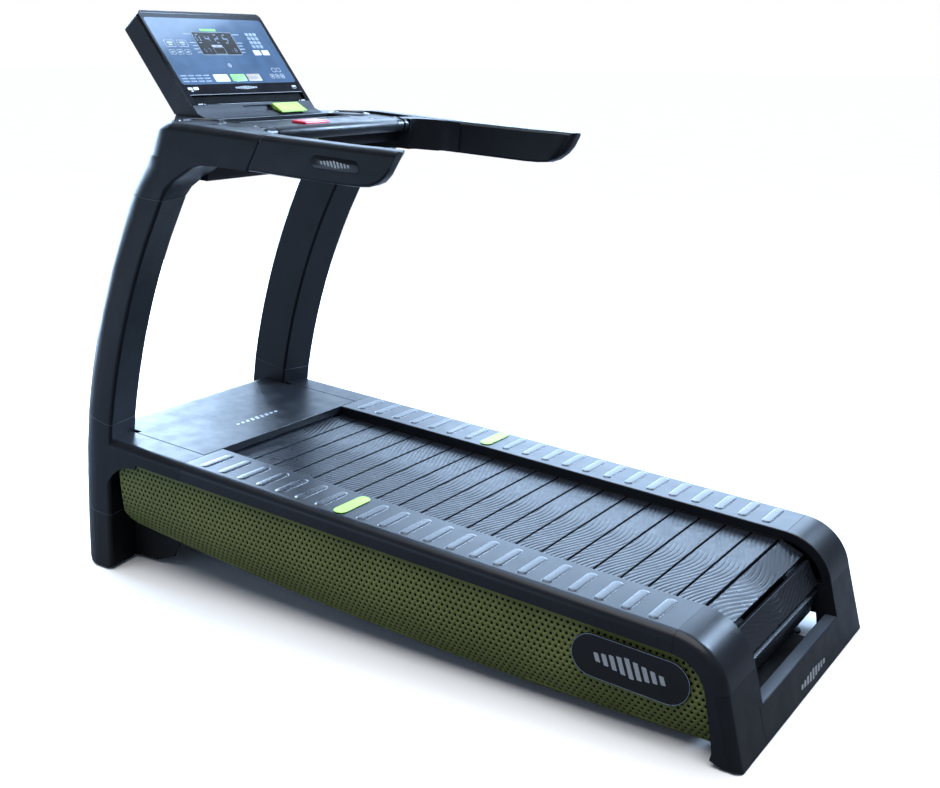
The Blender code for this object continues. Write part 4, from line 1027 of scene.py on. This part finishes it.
def build_keys():
    """The keypad, the key pair below it and the row of three coloured keys."""
    pale = keypad(0.136, 0.185, -0.075, -0.132, 3, 4, 0.0035)
    print_on_glass("keypad_keys", pale, "print_grey")
    dots = []
    for i in range(3):
        for k in range(4):
            at = (0.1430 + i * 0.0175, -0.0808 - k * 0.0152)
            dots.append(mark(*at, 0.0030, 0.0022))
            dots.append(outlined(*at, 0.0068, 0.0056, 0.0008))
    print_on_glass("keypad_marks", dots, "print_white")
    whites = [key(x, -0.1495, 0.0150, 0.0090, 0.002) for x in (0.1425, 0.1805)]
    whites.append(key(WHITE_X, KEY_ROW, 0.0300, KEY_TALL, 0.003))
    print_on_glass("white_keys", whites, "print_white")
    lamp = plate((-0.0165, -0.067), 0.0335, 0.0042, 0.0012, *PRINT)
    print_on_glass("green_keys", [key(GREEN_X, KEY_ROW, 0.0310, KEY_TALL, 0.003), lamp], "print_green")
    print_on_glass("tan_key", [key(TAN_X, KEY_ROW, 0.0290, KEY_TALL, 0.003)], "print_tan")
    labels = [mark(x, KEY_ROW, 0.0130, 0.0016) for x in (WHITE_X, GREEN_X, TAN_X)]
    for mesh in labels:
        mesh.transform(Matrix.Translation((0, 0, INK * 0.6)))
    print_on_glass("key_labels", labels, "print_grey")


def build_marks():
    """Plain outlines and bars where the panel carries symbols and small print."""
    marks = []
    for x in (-0.2010, -0.1520):
        marks.append(outlined(x, -0.1170, 0.0200, 0.0125, 0.0018, 0.005))
        marks.append(mark(x, -0.1140, 0.0110, 0.0034))
        marks.append(mark(x, -0.1220, 0.0075, 0.0018))
    for x in (-0.2090, -0.1790, -0.1490):
        marks.append(outlined(x, -0.1475, 0.0115, 0.0085, 0.0014))
        marks.append(mark(x, -0.1475, 0.0055, 0.0020))
    for x in (0.1700, 0.1920):
        marks.append(outlined(x, -0.2150, 0.0085, 0.0080, 0.0016))
    for x in (0.1480, 0.1710, 0.1940):
        marks.append(outlined(x, -0.2380, 0.0085, 0.0080, 0.0016))
        marks.append(mark(x, -0.2380, 0.0040, 0.0022))
    marks.append(ring_band((-0.011, -0.196), 0.0072, 0.0052, *PRINT, 0.0001))
    marks.append(mark(-0.011, -0.196, 0.0028, 0.0028))
    print_on_glass("panel_marks", marks, "silver_ink")
    print_on_glass("panel_lines", keypad(-0.236, -0.122, -0.229, -0.253, 4, 3, 0.006), "print_grey")

    band = [mark(-0.2270, -0.2760, 0.0085, 0.0042), mark(-0.2040, -0.2760, 0.0100, 0.0048),
            mark(-0.2230, -0.2850, 0.0050, 0.0010), mark(0.2180, -0.2760, 0.0095, 0.0018),
            outlined(0.2180, -0.2810, 0.0090, 0.0034, 0.0012, 0.002)]
    print_on_glass("band_marks", band, "print_white")
    bars = slanted_bars((0, 0), 0.0105, 0.0030, 0.0062)
    piece("band_bars", bars, "silver_ink",
          FACE @ Matrix.Translation((0.004, -0.2770, GLASS_UP)))


SLOT = (-0.313, 0.0140, 0.2400)  # ledge slot: its middle down the face, half height and half width
SLOT_WALL = ((0.0001, -0.0079), (0.0001, -0.0002), (0.0004, -0.0002), (0.0004, -0.0074))
BEZEL_MARKS = -0.3303  # the small marks' place down the face, below the slot


def build_console_face():
    """The bezel and glass, all that is printed on them, and the ledge slot's dark liner, which paints the
    shade inside the slot.
    """
    refined("console_bezel", 0.0010, "gloss_black")
    refined("display_glass", 0, "gloss_black")
    build_display()
    build_keys()
    build_marks()

    # painted shade: a near-black liner in the ledge slot, standing in for the shade inside it
    middle, half_y, half_x = SLOT
    rings = []
    for inset, z in SLOT_WALL:
        rings.append([(x, middle + y, z) for x, y in rounded(half_x - inset, half_y - inset, 0.0012, 2)])
    piece("ledge_painted_shade_liner", loft(rings), "shade_and_mat_black", FACE)

    marks = [plate((x, BEZEL_MARKS), half, 0.0013, 0.0006, -INK, INK)
             for x, half in ((-0.222, 0.0085), (0.222, 0.0085), (-0.206, 0.0020), (0.206, 0.0020))]
    piece("bezel_marks", joined(marks), "print_white", FACE)


build_belt()
build_rails()
build_side_panels()
build_badges()
build_cover_motifs()
build_covers()
build_seam_lines()
build_handrail_pills()
build_grip_bar()
build_tray()
build_console_face()

# The CAD nodes that still show take this script's material of the same name.
for node in nodes.values():
    if node.type == "MESH" and node.material_slots:
        kind = node.material_slots[0].name.split(".")[0]
        if kind in LOOKS:
            node.material_slots[0].material = LOOKS[kind]


# ---------------- floor, light, camera
def floor_finish():
    """Pale to the camera, but a mid grey in reflections, so that dark covers stay dark."""
    made, tree, shader = blank_material("floor")
    shader.inputs["Specular IOR Level"].default_value = 0.2
    noise = noise_node(tree, 1.5, 3)
    seen = shades(tree, noise, (0.90, 0.90, 0.90), (0.93, 0.93, 0.93))
    bounced = shades(tree, noise, (0.17, 0.18, 0.20), (0.19, 0.20, 0.22))
    path = new_node(tree, "LightPath")
    mix = new_node(tree, "Mix")
    mix.data_type = "RGBA"
    tree.links.new(path.outputs["Is Camera Ray"], mix.inputs["Factor"])
    tree.links.new(bounced, mix.inputs["A"])
    tree.links.new(seen, mix.inputs["B"])
    tree.links.new(mix.outputs["Result"], shader.inputs["Base Color"])
    rough = between(tree, noise_node(tree, 12, 3), 0.75, 0.85)
    tree.links.new(rough, shader.inputs["Roughness"])
    return made


FLOOR_REACH = 90  # far enough for its edge to vanish into the white background


def build_floor():
    """The pale studio floor at z = 0."""
    mesh = bpy.data.meshes.new("studio_floor")
    work = bmesh.new()
    bmesh.ops.create_grid(work, x_segments=8, y_segments=8, size=FLOOR_REACH)
    work.to_mesh(mesh)
    work.free()
    floor = bpy.data.objects.new("studio_floor", mesh)
    mesh.materials.append(floor_finish())
    link(floor)


COOL = (0.52, 0.72, 1.0)


def softbox(name, azimuth, height, distance, size, power, target=(0, 0, 0.5), spread_angle=180):
    """A large soft light that faces the target; azimuth runs from +X towards +Y, in degrees."""
    data = bpy.data.lights.new(name, "AREA")
    data.shape = "RECTANGLE"
    data.size, data.size_y = size
    data.energy = power
    data.color = COOL
    data.spread = radians(spread_angle)
    light = bpy.data.objects.new(name, data)
    a = radians(azimuth)
    light.location = (distance * cos(a), distance * sin(a), height)
    aim = Vector(target) - light.location
    light.rotation_euler = aim.to_track_quat("-Z", "Y").to_euler()
    light.visible_camera = False
    link(light)


def key_sun(name, azimuth, elevation, strength):
    """A broad, soft sun from this direction."""
    data = bpy.data.lights.new(name, "SUN")
    data.energy = strength
    data.angle = radians(60)
    light = bpy.data.objects.new(name, data)
    a, e = radians(azimuth), radians(elevation)
    light.rotation_euler = Vector((-cos(a) * cos(e), -sin(a) * cos(e),
                                   -sin(e))).to_track_quat("-Z", "Y").to_euler()
    link(light)


def build_world():
    """White to the camera, and a dim blue grey to everything else."""
    world = bpy.data.worlds.new("studio")
    world.use_nodes = True
    tree = world.node_tree
    tree.nodes.clear()
    out = new_node(tree, "OutputWorld")
    seen = new_node(tree, "Background", {"Color": (1, 1, 1, 1), "Strength": 1.0})
    light = new_node(tree, "Background", {"Color": (0.70, 0.79, 1.0, 1), "Strength": 0.23})
    path = new_node(tree, "LightPath")
    mix = new_node(tree, "MixShader")
    tree.links.new(path.outputs["Is Camera Ray"], mix.inputs["Fac"])
    tree.links.new(light.outputs["Background"], mix.inputs[1])
    tree.links.new(seen.outputs["Background"], mix.inputs[2])
    tree.links.new(mix.outputs["Shader"], out.inputs["Surface"])
    bpy.context.scene.world = world


CAMERA_AT = (-2.8457, -1.9301, 1.5600)
CAMERA_TURN = (74.583, -0.421, -56.813)  # Euler angles in degrees
FOCAL_LENGTH = 47.69  # millimetres, as is the sensor's width
SENSOR_WIDTH = 36


def build_camera():
    """The camera from which the object is seen."""
    data = bpy.data.cameras.new("camera")
    data.sensor_width = SENSOR_WIDTH
    data.lens = FOCAL_LENGTH
    camera = bpy.data.objects.new("camera", data)
    camera.location = CAMERA_AT
    camera.rotation_euler = [radians(a) for a in CAMERA_TURN]
    link(camera)
    bpy.context.scene.camera = camera


build_floor()
softbox("box_far_right", 13, 2.0, 5.5, (4.0, 4.0), 380)
softbox("box_far_left", 74, 2.0, 5.5, (4.6, 4.2), 1000)
softbox("box_far_middle", 43, 1.9, 5.7, (1.9, 3.6), 85)
softbox("box_console", -28, 3.6, 4.5, (1.8, 1.8), 82, (0, 0.7, 1.4), 50)
softbox("overhead", 33, 5.6, 2.6, (4.0, 3.0), 170)
softbox("side_glow", 147, 0.3, 3.9, (3.4, 2.6), 45, (0, 0, 2.5))
key_sun("sun", 205, 80, 3.1)
build_world()
build_camera()
bpy.context.scene.view_settings.view_transform = "Standard"
